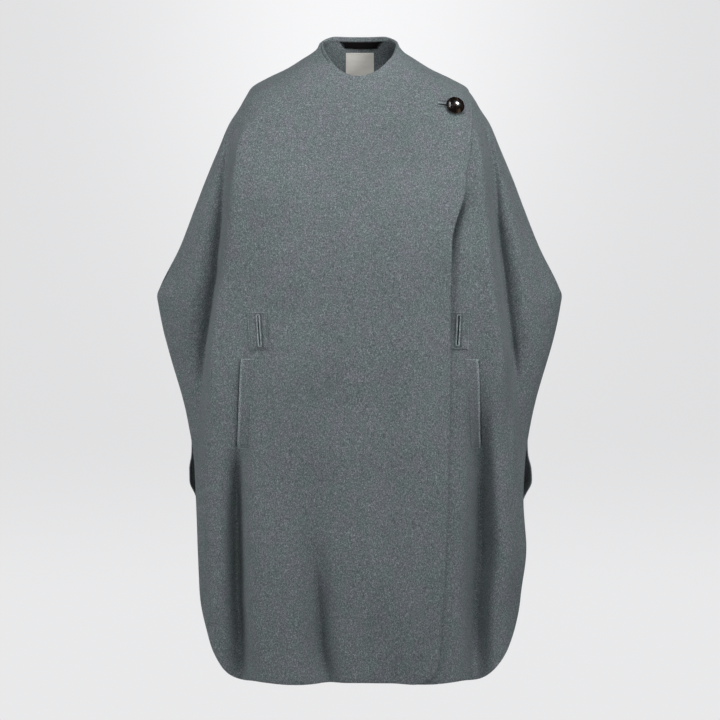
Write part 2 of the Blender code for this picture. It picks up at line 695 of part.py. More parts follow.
# ----------------------------------------------------------- inside the neck
def inside_strip(name, grid, r_lo, r_hi, c_lo, c_hi, offsets, mat, extra=(), x_lo=None, x_hi=None, lean=0.0):
    """Strip on the inner face between two rows and two columns, or two places
    in X where its sides are upright. With a lean its sides come in downwards."""
    rs = sorted({r_lo, r_hi} | {float(k) for k in range(len(LEVELS)) if r_lo < k < r_hi})
    cs = sorted({c_lo, c_hi} | {float(k) for k in range(len(grid.q)) if c_lo < k < c_hi} | set(extra))
    rows = []
    for r in rs:
        row = []
        if x_lo is not None:
            c_lo, c_hi = column_at_x(grid, r, x_lo), column_at_x(grid, r, x_hi)
            cs = [c_lo, c_lo * 0.55 + c_hi * 0.45, c_lo * 0.45 + c_hi * 0.55, c_hi]
        for c in cs:
            v, u = (r - r_lo) / (r_hi - r_lo), (c - c_lo) / (c_hi - c_lo)
            p, n = grid.at(r, c + lean * v * (1 - 2 * u))
            lo, hi = offsets(v, u)
            row.append((p - n * (CLOTH_T + hi), p - n * (CLOTH_T + lo)))
        rows.append(row)
    return wall(name, rows, mat)


def rows_for(grid, c, mm):
    """Row index that lies a length below the neckline at a column."""
    left, r = mm, 0
    while True:
        d = (grid.at(r, c)[0] - grid.at(r + 1, c)[0]).length
        if left <= d:
            return r + left / d
        left -= d
        r += 1


def column_at_x(grid, r, x):
    lo, hi = 0.0, float(len(grid.q) - 1)
    for _ in range(40):
        mid = (lo + hi) / 2
        if grid.at(r, mid)[0].x < x:
            lo = mid
        else:
            hi = mid
    return (lo + hi) / 2


mid_back = n_back / 2
band_r = rows_for(back, mid_back, BAND_H)
inside_strip("neck_band_back", back, 0.0, band_r, 0.02, n_back - 0.02,
             lambda v, u: (0.3, 0.3 + BAND_T), WOOL)
inside_strip("neck_band_front", front, 0.27, 0.27 + rows_for(front, n_front / 2, BAND_H - 1.5),
             front.index(-2.78), n_front - 0.30, lambda v, u: (0.3, 0.3 + BAND_T), WOOL)

label_top = rows_for(back, mid_back, 28.0)
label_low = rows_for(back, mid_back, 28.0 + LABEL_H)
c1, c2 = column_at_x(back, 3, 0.6 - LABEL_W / 2), column_at_x(back, 3, 0.6 + LABEL_W / 2)
inside_strip("neck_label", back, label_top, label_low, c1, c2,
             lambda v, u: (0.4, 0.4 + LABEL_T), SATIN, (), 0.6 - LABEL_W / 2, 0.6 + LABEL_W / 2)

loop_top = rows_for(back, mid_back, BAND_H + 0.6)
loop_low = rows_for(back, mid_back, BAND_H + 0.6 + LOOP_H)
l1, l2 = column_at_x(back, 1, LOOP_X[0]), column_at_x(back, 1, LOOP_X[1])
inside_strip("hanger_loop", back, loop_top, loop_low, l1, l2,
             lambda v, u: (0.4 + LOOP_BOW * math.sin(math.pi * u) ** 0.8 * (0.55 + 0.45 * v),
                           0.4 + LOOP_T + LOOP_BOW * math.sin(math.pi * u) ** 0.8 * (0.55 + 0.45 * v)),
             TAPE, [l1 + (l2 - l1) * k for k in (0.08, 0.2, 0.35, 0.65, 0.8, 0.92)],
             lean=(l2 - l1) * LOOP_SLANT / (LOOP_X[1] - LOOP_X[0]))
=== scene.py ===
"""Looks of the wool cape coat: every cloth piece as a fine thin shell on the
form of its solid, with its folds, edges, stitching and materials."""
import math
import random

import bmesh
import bpy
from mathutils import Matrix, Vector, noise
from mathutils.bvhtree import BVHTree


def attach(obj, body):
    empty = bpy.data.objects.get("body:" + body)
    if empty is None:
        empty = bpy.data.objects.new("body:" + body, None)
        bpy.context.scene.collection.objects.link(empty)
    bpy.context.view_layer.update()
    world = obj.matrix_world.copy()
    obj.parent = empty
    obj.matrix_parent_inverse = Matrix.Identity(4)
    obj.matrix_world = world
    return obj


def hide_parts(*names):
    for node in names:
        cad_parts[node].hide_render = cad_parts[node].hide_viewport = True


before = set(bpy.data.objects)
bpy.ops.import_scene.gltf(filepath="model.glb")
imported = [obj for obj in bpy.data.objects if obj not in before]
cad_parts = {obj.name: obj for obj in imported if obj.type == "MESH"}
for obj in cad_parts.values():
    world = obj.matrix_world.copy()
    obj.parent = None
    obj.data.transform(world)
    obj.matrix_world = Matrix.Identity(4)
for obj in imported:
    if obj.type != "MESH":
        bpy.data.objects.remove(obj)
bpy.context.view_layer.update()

MM = 0.001

# ------------------------------------------------------------------ sizes, mm
CLOTH_T = 2.4
LAYER_GAP = 2.0
EDGE_STAND = 8.0
HEM_CORNER = 44.0
BAND_H, BAND_T = 8.0, 1.5
WELT_T, WELT_MOUTH = 2.8, 2.4
BUTTON_R, BUTTON_LIFT = 16.1, 3.6
BUTTON_XZ = (166.0, -60.0)
BUTTONHOLE_LEN = 30.0
SLIT_TOP = -640.0
LABEL_W, LABEL_H = 50.0, 46.0
LOOP_X, LOOP_H, LOOP_T, LOOP_BOW = (-36.0, 41.5), 11.0, 1.0, 2.4
LOOP_SLANT = 8.5     # how much shorter the loop's lower edge is at either end
CELL = 5.5           # size of the fine mesh's cells

SECTION_NAMES = ("z_side", "z_front", "z_back", "half_w", "ridge_x", "valley_x",
                 "y_front", "ridge_y", "valley_y", "v_slope", "y_side", "y_back",
                 "corner")
SECTIONS = (
    (  58,    -9,   73,   66,  41,  58,  -74,  -60, -38, 2.6, -10,   58, 0),  # neckline
    (  47,   -19,   61,   71,  46,  62,  -77,  -63, -40, 2.4,  -9,   62, 0),  # neck base
    (  37,   -28,   51, 80.5,  54,  71,  -80,  -66, -44, 2.2,  -8,   66, 0),  # flare
    (  26,   -38,   41,   95,  65,  85,  -84,  -70, -49, 1.9,  -7,   71, 0),
    (   9,   -52,   24,  121,  87, 111,  -90,  -77, -54, 1.6,  -5,   79, 0),  # shoulder
    (  -9,   -68,    5,  159, 113, 143,  -95,  -83, -58, 1.5,  -3,   87, 0),
    ( -26,   -85,  -13,  188, 136, 170, -100,  -88, -62, 1.5,  -1,   94, 0),  # shoulder, outer
    ( -44,  -103,  -33,  202, 155, 187, -105,  -93, -63, 1.4,   0,  101, 0),  # shoulder tip
    ( -60,  -119,  -51,  211, 167, 197, -109,  -96, -63, 1.2,   0,  105, 0),  # below the tip
    ( -86,  -143,  -80,  228, 192, 216, -116, -101, -60, 0.5,   2,  110, 0),  # top of the arm fold
    (-128,  -178, -123,  246, 209, 234, -126, -107, -56, 0.0,   3,  117, 0),
    (-180,  -219, -176,  268, 218, 239, -135, -111, -53, -0.4,   4,  122, 0),  # chest
    (-240,  -264, -236,  291, 224, 242, -141, -112, -51, -0.7,   4,  126, 0),
    (-299,  -306, -296,  314, 231, 247, -145, -112, -50, -0.8,   4,  128, 0),
    (-372,  -375, -371,  350, 240, 256, -148, -110, -50, -0.8,   4,  130, 0),
    (-386,  -388, -385,  355, 241, 257, -148, -110, -50, -0.8,   4,  130, 0),  # elbow, the widest
    (-400,  -402, -399,  353, 243, 259, -148, -110, -50, -0.8,   4,  130, 0),
    (-446,  -447, -446,  344, 249, 265, -149, -108, -50, -0.5,   4,  131, 0),
    (-497,  -497, -497,  330, 256, 271, -150, -104, -48, 0.1,   3,  132, 0),
    (-569,  -568, -570,  309, 259, 278, -150,  -97, -43, 1.2,   2,  133, 0),
    (-640,  -637, -643,  294, 263, 281, -151,  -86, -32, 2.2,   0,  134, 0),  # slit begins
    (-690,  -686, -695,  287, 260, 280, -151,  -88, -54, 2.0, -26,  134, 0.4),
    (-742,  -737, -748,  284, 258, 276, -152,  -91, -64, 1.9, -40,  135, 1),
    (-811,  -838, -842,  281, 254, 272, -154,  -94, -70, 1.9, -48,  137, 1),
    (-897, -1046, -1050, 277, 252, 269, -156,  -98, -74, 1.9, -52,  140, 1),  # hem
)
BACK_EDGE_NAMES = ("z_side", "half_w", "y_side")
BACK_EDGE = ((-640, 294, 0), (-665, 295, 12), (-690, 299, 21), (-712, 299, 25),
             (-735, 290, 31), (-770, 279, 38), (-811, 274, 44), (-897, 268, 52))
FREE_EDGE_NAMES = ("z_side", "q")
FREE_EDGE = ((58, 2.82), (-22, 2.82), (-35, 2.50), (-55, 2.00), (-72, 1.50), (-88, 1.00),
             (-108, 0.942), (-130, 0.895), (-154, 0.849), (-185, 0.82), (-225, 0.757), (-262, 0.701),
             (-299, 0.67), (-381, 0.638), (-446, 0.618), (-497, 0.602), (-595, 0.585), (-640, 0.574),
             (-724, 0.576), (-811, 0.572), (-897, 0.535))
HEM_DIP = 4.2
SWELLS = (
    ("F", 1, -832, 9.0, 62),     # lower front edge, wearer's left
    ("F", -1, -962, -3.6, 44),   # above the hem corner, wearer's right
    ("F", -1, -1042, 4.5, 20),   # hem corner, wearer's right
    ("F", -1, -352, -2.8, 20),   # above the elbow, wearer's right
    ("B", 1, -712, 4.6, 38),     # back beside the slit, wearer's left
)
FOLD_NAMES = ("side", "x1", "z1", "d1", "x2", "z2", "d2", "x3", "z3", "d3", "w")
FOLDS = (
    ("F", 44, -420,   0, 60, -740, -7, 62, -1046, -11, 22),    # shallow, right of middle
    ("B", -96, -520,  0, -84, -800, -8, -78, -1050, -12, 28),   # back, right half
    ("B", 70, -560,   0, 88, -820, -8, 94, -1050, -10, 26),     # back, left half
    ("B", 8, -600,    0, 4, -840, 5, 2, -1050, 7, 30),          # back, middle, a low ridge
)
TROUGH_NAMES = ("z", "x", "depth", "width")
TROUGH_RIGHT = (     # at the side of the body, wearer's right
    (-290, 184, 0, 22), (-380, 190, -3, 20), (-480, 197, -5, 19), (-570, 202, -8, 18),
    (-640, 206, -15, 17), (-705, 210, -39, 16.5), (-775, 211, -54, 16.5), (-845, 210, -56, 16.5),
    (-915, 209, -52, 17.5), (-985, 206, -44, 19), (-1046, 201, -31, 22),
)
TROUGH_LEFT = (      # wearer's left, it begins higher
    (-330, 196, 0, 22), (-499, 204, -8, 18), (-570, 204, -17, 17), (-640, 206, -36, 17),
    (-705, 208, -54, 17), (-775, 206, -64, 17), (-845, 203, -65, 17), (-915, 200, -59, 17.5),
    (-985, 200, -49, 19), (-1046, 198, -33, 22),
)
CENTRE_TROUGH = (    # beside the centre front, on the wearer's right
    (-520, -100, 0, 28), (-650, -96, -6, 28), (-780, -88, -12, 28), (-845, -77, -21, 27),
    (-915, -69, -35, 23), (-985, -65, -40, 22), (-1046, -52, -27, 23),
)
BACK_TROUGH = (      # the back's side troughs, shallower
    (-480, 196, 0, 24), (-640, 200, -6, 24), (-760, 206, -16, 24), (-900, 204, -22, 25),
    (-1050, 198, -18, 26),
)
TROUGHS = (("F", -1, 1.0, TROUGH_RIGHT), ("F", 1, 1.0, TROUGH_LEFT), ("F", 1, 1.0, CENTRE_TROUGH),
           ("B", -1, 1.0, BACK_TROUGH), ("B", 1, 0.85, BACK_TROUGH))

# ------------------------------------------------------------------- light
AMBIENT = 0.004
LIGHTS = (
    # name, place, aim, size (m), power (W), colour
    ("left_side", (-2.0, -0.45, -0.5), (0.0, 0.0, -0.6), (1.0, 1.4), 8.0, (1.0, 1.0, 1.0)),
    ("left_high", (-1.9, -1.0, 0.1), (0.0, 0.0, -0.30), (1.0, 1.0), 9.9, (1.0, 1.0, 1.0)),
    ("right_side", (2.0, -0.45, -0.5), (0.0, 0.0, -0.6), (1.0, 1.4), 1.5, (1.0, 1.0, 1.0)),
    ("left", (-0.8, -1.9, 0.6), (0.0, 0.0, -0.30), (0.8, 0.8), 7.5, (1.0, 1.0, 1.0)),
    ("right", (1.3, -1.5, 0.1), (0.0, 0.0, -0.30), (0.8, 0.8), 16.8, (1.0, 1.0, 1.0)),
    ("near", (0.2, -1.05, 0.95), (0.0, 0.0, -0.03), (0.5, 0.5), 13.1, (1.0, 1.0, 1.0)),
    ("back", (0.6, 2.8, 1.3), (0.0, 0.0, -0.4), (1.8, 1.6), 45, (1, 1, 1)),
)

# Small creases that the solids leave out, given one by one (same columns).
CREASES = (
    # over the arms, beside the grooves of GROOVE_RIGHT and GROOVE_LEFT
    ("F", -238, -100, 0, -258, -215, 4.5, -306, -500, 0, 17),
    ("F", 238, -100, 0, 256, -215, 9.5, 306, -520, 0, 17),
    ("F", -196, -160, 0, -214, -360, 2.0, -236, -600, 0, 16),
    ("F", 196, -200, 0, 222, -380, 1.6, 240, -600, 0, 14),
    # beside the button, from the free edge up towards the chest
    ("F", 110, -85, 0, 143, -134, -1.5, 180, -190, 0, 7),
    ("F", 126, -70, 0, 152, -118, 1.0, 186, -170, 0, 9),
    # chest and waist, faint
    ("F", -122, -330, 0, -112, -420, -1.6, -104, -520, 0, 16),
    ("F", -176, -300, 0, -172, -372, -2.2, -160, -470, 0, 20),
    ("F", 150, -300, 0, 148, -400, -1.2, 150, -520, 0, 16),
    ("F", 30, -120, 0, 20, -200, -0.8, 14, -330, 0, 40),
    ("F", -60, -90, 0, -70, -180, 0.8, -74, -300, 0, 34),
    ("F", 96, -120, 0, 104, -200, 0.9, 108, -330, 0, 30),
    ("F", 72, -150, 0, 74, -300, 14.0, 80, -720, 0, 42),
    ("F", -226, -200, 0, -206, -300, 3.5, -212, -460, 0, 15),
    ("F", -300, -225, 0, -312, -290, -3.0, -326, -400, 0, 11),
    ("F", 300, -225, 0, 312, -290, -3.0, 326, -400, 0, 11),
    ("F", 52, -400, 0, 54, -600, -4.0, 40, -900, 0, 24),
    ("F", -68, -380, 0, -70, -640, -4.0, -66, -860, 0, 26),
    # skirt, long and uneven
    ("F", -40, -420, 0, -20, -640, 1.4, 4, -1046, 2.6, 26),
    ("F", -128, -560, 0, -120, -800, 2.4, -112, -1046, 3.8, 24),
    ("F", 118, -620, 0, 128, -830, 1.6, 132, -1046, 2.6, 26),
    ("F", -165, -700, 0, -164, -860, 1.8, -160, -1040, 2.2, 16),
    ("F", -244, -640, 0, -242, -840, 2.6, -240, -1000, 2.0, 16),
    ("F", 244, -640, 0, 241, -840, 2.6, 238, -1000, 2.0, 16),
    # over the arms
    ("F", -300, -330, 0, -318, -400, -2.6, -300, -500, 0, 12),
    ("F", 300, -320, 0, 316, -392, -2.2, 300, -480, 0, 12),
    # back
    ("B", -140, -380, 0, -142, -700, 2.4, -138, -1050, 3.6, 26),
    ("B", 140, -420, 0, 146, -720, 2.8, 148, -1050, 3.8, 24),
    ("B", -46, -500, 0, -40, -780, 1.8, -34, -1050, 2.8, 18),
    ("B", 40, -460, 0, 44, -760, 1.4, 46, -1050, 2.2, 16),
    ("B", -240, -640, 0, -240, -840, 2.8, -236, -1010, 2.0, 16),
    ("B", 240, -640, 0, 238, -840, 2.6, 234, -1010, 2.0, 16),
    ("B", -60, -60, 0, -72, -150, -1.6, -80, -300, 0, 26),
    ("B", 64, -70, 0, 70, -160, -1.4, 76, -310, 0, 28),
    ("B", -252, -180, 0, -276, -400, -4.5, -268, -600, 0, 13),
    ("B", 250, -170, 0, 272, -390, -5.5, 266, -600, 0, 13),
    ("B", -290, -330, 0, -302, -410, -2.4, -290, -520, 0, 13),
    ("B", 288, -320, 0, 304, -400, -2.6, 290, -500, 0, 12),
)

# Sharp groove down the inner side of each sleeve (columns of TROUGH_NAMES).
GROOVE_RIGHT = (
    (-60, 218, 0, 9), (-96, 223, -7, 9.5), (-149, 228, -13, 9.5), (-219, 230, -11, 9.5), (-289, 240, -10, 9.5),
    (-359, 249, -10.5, 9.5), (-429, 260, -12, 9.5), (-499, 269, -14, 10), (-569, 268, -9, 11), (-640, 270, 0, 11),
)
GROOVE_LEFT = (
    (-60, 216, 0, 9), (-96, 220, -10, 9.5), (-149, 224, -20, 9.5), (-219, 228, -22, 9.5), (-289, 237, -22, 9.5),
    (-359, 244, -22, 9.5), (-429, 252, -24, 9.5), (-499, 263, -26, 10), (-569, 262, -20, 11), (-640, 262, -4, 11),
)


def beside(table, out, share, width):
    """A softer groove or ridge that runs with a groove, farther out or in."""
    return tuple((z, x + out, d * share, width) for z, x, d, _ in table)


GROOVES = (("F", -1, 1.0, GROOVE_RIGHT), ("F", 1, 1.0, GROOVE_LEFT),
           ("F", -1, 1.0, beside(GROOVE_RIGHT, 14, 0.34, 17)), ("F", 1, 1.0, beside(GROOVE_LEFT, 14, 0.34, 17)),
           ("F", -1, 1.0, beside(GROOVE_RIGHT, -17, -0.34, 13)), ("F", 1, 1.0, beside(GROOVE_LEFT, -17, -0.30, 13)))


# ------------------------------------------------------------- interpolation
def pchip(xs, ys, x):
    n = len(xs)
    if x >= xs[0]:
        return ys[0]
    if x <= xs[-1]:
        return ys[-1]
    k = 0
    while x < xs[k + 1]:
        k += 1
    h = [xs[i + 1] - xs[i] for i in range(n - 1)]
    d = [(ys[i + 1] - ys[i]) / h[i] for i in range(n - 1)]

    def slope(i):
        if i == 0:
            return d[0]
        if i == n - 1:
            return d[-1]
        if d[i - 1] * d[i] <= 0:
            return 0.0
        a, b = 2 * h[i] + h[i - 1], h[i] + 2 * h[i - 1]
        return (a + b) / (a / d[i - 1] + b / d[i])

    t = (x - xs[k]) / h[k]
    m0, m1 = slope(k) * h[k], slope(k + 1) * h[k]
    return ((2 * t**3 - 3 * t**2 + 1) * ys[k] + (t**3 - 2 * t**2 + t) * m0
            + (-2 * t**3 + 3 * t**2) * ys[k + 1] + (t**3 - t**2) * m1)


def column(table, names, name):
    return [row[names.index(name)] for row in table]


def hermite(p0, p1, t0, t1, u):
    a, b = 2 * u**3 - 3 * u**2 + 1, u**3 - 2 * u**2 + u
    c, d = -2 * u**3 + 3 * u**2, u**3 - u**2
    return tuple(a * p0[i] + b * t0[i] + c * p1[i] + d * t1[i] for i in range(2))


def smooth(a, b, x):
    t = min(1.0, max(0.0, (x - a) / (b - a)))
    return t * t * (3 - 2 * t)


# -------------------------------------------------------------------- form
_cache = {}


def section(h):
    if h not in _cache:
        zs = column(SECTIONS, SECTION_NAMES, "z_side")
        s = {n: pchip(zs, column(SECTIONS, SECTION_NAMES, n), h) for n in SECTION_NAMES}
        be = column(BACK_EDGE, BACK_EDGE_NAMES, "z_side")
        s["back_w"], s["back_y"] = s["half_w"], s["y_side"]
        if h < be[0]:
            s["back_w"] = pchip(be, column(BACK_EDGE, BACK_EDGE_NAMES, "half_w"), h)
            s["back_y"] = pchip(be, column(BACK_EDGE, BACK_EDGE_NAMES, "y_side"), h)
        _cache[h] = s
    return _cache[h]


def tilt(a, corner, power):
    u = max(0.0, (a - 0.68) / 0.32)
    arc = 1 - math.sqrt(max(0.0, 1 - min(1.0, u) ** 2))
    return (1 - corner) * a**power + corner * arc


def half_curve(q, w, rx, vx, y0, ry, vy, vs, ys):
    if q <= 1:
        return rx * q, y0 + (ry - y0) * q**2.4
    slope = 2.4 * (ry - y0) / rx
    if q <= 2:
        k = 1.1 * (vx - rx)
        return hermite((rx, ry), (vx, vy), (k, k * slope), (k * 0.8, k * 0.8 * vs), q - 1)
    k = 0.95 * (w - vx) + 4
    turn = 0.55 * abs(ys - vy) + 10
    run = 1.0 / math.sqrt(1 + (0.6 * vs) ** 2)
    return hermite((vx, vy), (w, ys), (k * run, k * run * vs), (0.0, turn), q - 2)


_fold_rows = {s: [dict(zip(FOLD_NAMES, r)) for r in FOLDS + CREASES if r[0] == s] for s in "FB"}
_fold_at = {}


def fold_depth(side, x, z):
    key = (side, round(z * 0.5))
    if key not in _fold_at:
        zz, rows = key[1] * 2.0, []
        for f in _fold_rows[side]:
            if zz > f["z1"]:
                continue
            zr = [f["z1"], f["z2"], f["z3"]]
            d = pchip(zr, [f["d1"], f["d2"], f["d3"]], zz)
            if abs(d) > 0.01:
                rows.append((pchip(zr, [f["x1"], f["x2"], f["x3"]], zz), d, f["w"]))
        for name, sign, share, stations in TROUGHS + GROOVES:
            zr = column(stations, TROUGH_NAMES, "z")
            if name == side and zz < zr[0]:
                xc, d, w = (pchip(zr, column(stations, TROUGH_NAMES, n), zz) for n in ("x", "depth", "width"))
                rows.append((sign * xc, share * d, w))
        _fold_at[key] = rows
    return sum(d * math.exp(-((x - xc) / w) ** 2) for xc, d, w in _fold_at[key]
               if abs(x - xc) < 3.2 * w)


def swell(side, sign, x, z):
    total = 0.0
    for name, x_sign, at, out, height in SWELLS:
        if name == side and x_sign == sign:
            total += out * math.exp(-((z - at) / height) ** 2)
    return total * smooth(150, 260, x)


def form(side, h, q):
    s = section(h)
    neck = smooth(20, 55, h)
    a, sign = abs(q), (1 if q >= 0 else -1)
    if side == "F":
        x, y = half_curve(a, s["half_w"], s["ridge_x"], s["valley_x"], s["y_front"],
                          s["ridge_y"], s["valley_y"], s["v_slope"], s["y_side"])
        a = min(1.0, x / s["half_w"])
        e = tilt(a, s["corner"], 2.6)
        e += (0.45 * a**2.2 + 0.55 * (1 - math.sqrt(max(0.0, 1 - a * a))) - e) * neck
        z = s["z_front"] + (s["z_side"] - s["z_front"]) * e
        dip = smooth(0, 0.4, a) * (1 - smooth(0.44, 0.68, a)) + 0.72 * math.exp(-((a - 0.735) / 0.075) ** 2)
        z -= HEM_DIP * s["corner"] * dip
        y -= fold_depth("F", sign * x, z) * smooth(0, 13, s["half_w"] - x)
    else:
        g = s["back_w"] / s["half_w"]
        flat = 0.86
        x, y = half_curve(a, s["back_w"], s["ridge_x"] * g, s["valley_x"] * g, -s["y_back"],
                          -s["y_back"] + flat * (s["ridge_y"] - s["y_front"]),
                          s["valley_y"] * 0.92, s["v_slope"], -s["back_y"])
        e = tilt(min(1.0, x / s["back_w"]), s["corner"], 5.0 + 3.0 * neck)
        z = s["z_back"] + (s["z_side"] - s["z_back"]) * e
        y = -y + fold_depth("B", sign * x, z)
    return Vector((sign * (x + swell(side, sign, x, z)), y, z))


H_TOP, H_END = SECTIONS[0][0], SECTIONS[-1][0]
EDGE_H = column(FREE_EDGE, FREE_EDGE_NAMES, "z_side")
EDGE_Q = column(FREE_EDGE, FREE_EDGE_NAMES, "q")


def free_edge_q(h):
    return pchip(EDGE_H, EDGE_Q, h)


def waver(p):
    """Slow unevenness of real cloth, a fraction of a millimetre."""
    return (0.55 * noise.noise(p * 0.012) + 0.30 * noise.noise(p * 0.03 + Vector((7, 3, 1))))


# --------------------------------------------------------------- mesh making
def closed_wall(rows, name, mat, bead=0.9, body="root"):
    """Thin closed shell from rows of (inner, outer) points in mm, its rim
    rounded like a turned or cut edge of thick cloth."""
    nr, nc = len(rows), len(rows[0])
    verts, faces = [], []
    idx = {}

    def inset(i, j, k):
        p = rows[i][j][k]
        for di, dj, at in ((1, 0, i == 0), (-1, 0, i == nr - 1), (0, 1, j == 0), (0, -1, j == nc - 1)):
            if at:
                d = rows[i + di][j + dj][k] - rows[i][j][k]
                if d.length > 1e-6:
                    p = p + d * (min(bead, 0.45 * d.length) / d.length)
        return p

    for k in (0, 1):
        for i in range(nr):
            for j in range(nc):
                idx[k, i, j] = len(verts)
                verts.append(inset(i, j, k) if bead else rows[i][j][k])
    for i in range(nr - 1):
        for j in range(nc - 1):
            a, b, c, d = (i, j), (i, j + 1), (i + 1, j + 1), (i + 1, j)
            faces.append([idx[(1,) + a], idx[(1,) + d], idx[(1,) + c], idx[(1,) + b]])
            faces.append([idx[(0,) + a], idx[(0,) + b], idx[(0,) + c], idx[(0,) + d]])
    loop = ([(0, j) for j in range(nc)] + [(i, nc - 1) for i in range(1, nr)]
            + [(nr - 1, j) for j in range(nc - 2, -1, -1)] + [(i, 0) for i in range(nr - 2, 0, -1)])
    rings = []
    for t, keep in ((0.14, 0.30), (0.5, 0.0), (0.86, 0.30)) if bead else ((0.5, 0.0),):
        ring = []
        for i, j in loop:
            full = rows[i][j][0].lerp(rows[i][j][1], t)
            near = verts[idx[0, i, j]].lerp(verts[idx[1, i, j]], t)
            ring.append(len(verts))
            verts.append(full.lerp(near, keep))
        rings.append(ring)
    inner = [idx[0, i, j] for i, j in loop]
    outer = [idx[1, i, j] for i, j in loop]
    chain = [inner] + rings + [outer]
    n = len(loop)
    for a, b in zip(chain, chain[1:]):
        for k in range(n):
            m = (k + 1) % n
            faces.append([a[k], b[k], b[m], a[m]])
    me = bpy.data.meshes.new(name)
    me.from_pydata([v * MM for v in verts], [], faces)
    me.validate()
    bm = bmesh.new()
    bm.from_mesh(me)
    bmesh.ops.remove_doubles(bm, verts=bm.verts, dist=1e-7)
    bmesh.ops.recalc_face_normals(bm, faces=bm.faces)
    bm.to_mesh(me)
    bm.free()
    me.shade_smooth()
    me.materials.append(mat)
    ob = bpy.data.objects.new(name, me)
    bpy.context.scene.collection.objects.link(ob)
    if body:
        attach(ob, body)
    return ob


def grid_normals(points, flip):
    nr, nc = len(points), len(points[0])
    out = []
    for i in range(nr):
        row = []
        for j in range(nc):
            du = points[i][min(j + 1, nc - 1)] - points[i][max(j - 1, 0)]
            dv = points[min(i + 1, nr - 1)][j] - points[max(i - 1, 0)][j]
            n = dv.cross(du) if not flip else du.cross(dv)
            row.append(n.normalized())
        out.append(row)
    return out


def level_rows(cell):
    """Levels spaced evenly along the cloth."""
    hs, acc = [H_TOP], [0.0]
    h = H_TOP
    while h > H_END:
        g = max(H_END, h - 2.0)
        a, b = section(h), section(g)
        step = 0.5 * (abs(a["z_front"] - b["z_front"]) + abs(a["z_side"] - b["z_side"]))
        step = max(step, math.hypot(a["half_w"] - b["half_w"], a["z_side"] - b["z_side"]))
        hs.append(g)
        acc.append(acc[-1] + step)
        h = g
    n = int(acc[-1] / cell)
    out = []
    k = 0
    for i in range(n + 1):
        t = acc[-1] * i / n
        while k < len(acc) - 2 and acc[k + 1] < t:
            k += 1
        f = (t - acc[k]) / (acc[k + 1] - acc[k])
        out.append(hs[k] + (hs[k + 1] - hs[k]) * min(1.0, max(0.0, f)))
    return out


ROWS = level_rows(CELL)


def panel_grid(side, q_lo, q_hi, h_top, h_end, columns):
    """Places (h, q) of a fine panel, evenly spaced along every level."""
    grid = []
    for h in ROWS:
        a, b = q_lo(h), q_hi(h)
        n = 90
        qs = [a + (b - a) * k / n for k in range(n + 1)]
        pts = [form(side, h, q) for q in qs]
        acc = [0.0]
        for k in range(n):
            acc.append(acc[-1] + (pts[k + 1] - pts[k]).length)
        row, k = [], 0
        for c in range(columns + 1):
            t = acc[-1] * c / columns
            while k < n - 1 and acc[k + 1] < t:
                k += 1
            f = min(1.0, max(0.0, (t - acc[k]) / (acc[k + 1] - acc[k])))
            q = qs[k] + (qs[k + 1] - qs[k]) * f
            up = max(0.0, min(1.0, (h - H_TOP + 60) / 60))
            low = max(0.0, min(1.0, (H_END + 117 - h) / 117)) ** 1.4
            hh = h + (h_top(q) - H_TOP) * up + (h_end(h, q) - H_END) * low
            row.append((hh, q))
        grid.append(row)
    return grid


def cloth_panel(name, side, q_lo, q_hi, h_top, h_end, offsets, mat, width):
    columns = max(8, int(width / CELL))
    places = panel_grid(side, q_lo, q_hi, h_top, h_end, columns)
    pts = [[form(side, h, q) for h, q in row] for row in places]
    nrm = grid_normals(pts, side == "B")
    rows = []
    for i, row in enumerate(places):
        out = []
        for j, (h, q) in enumerate(row):
            p, n = pts[i][j], nrm[i][j]
            lo, hi = offsets(h, q)
            w = waver(p)
            out.append((p + n * (lo + w), p + n * (hi + w)))
        rows.append(out)
    return closed_wall(rows, name, mat)


def stand_away(h, q):
    e = free_edge_q(h)
    along = smooth(-120, -230, h) * (1 - 0.75 * smooth(-300, -420, h))
    return EDGE_STAND * along * smooth(e - 0.42, e, q)


def overlap_offsets(h, q):
    e = free_edge_q(h)
    close = smooth(e - 1.0, e, q) * smooth(-60, 0, h)
    out = LAYER_GAP + CLOTH_T - 1.4 * close
    span = min(3 - e, 0.35 + 0.9 * smooth(0.9, 1.3, e))   # it comes down again past the underlap
    rise = 1.0 if q > -e else smooth(0, 1, (q + e + span) / span)
    out = out * rise + stand_away(h, q)
    return out - CLOTH_T, out


def overlap_end(h, q):
    """The overlap's lower corner, rounded towards its free edge."""
    e = free_edge_q(H_END)
    s = section(H_END)
    d = max(0.0, min(HEM_CORNER, (e - q) * s["ridge_x"]))
    lift = HEM_CORNER - math.sqrt(HEM_CORNER**2 - (HEM_CORNER - d) ** 2)
    return H_END + lift / 2.42


def under_offsets(h, q):
    """The underlap sinks a little along the overlap's free edge."""
    e = free_edge_q(h)
    deep = 19.0 * smooth(-175, -235, h) * (1 - 0.5 * smooth(-290, -370, h) - 0.4 * smooth(-420, -520, h))
    d = deep * math.exp(-((q - e - 0.012) / 0.040) ** 2)
    return -CLOTH_T - d, -d




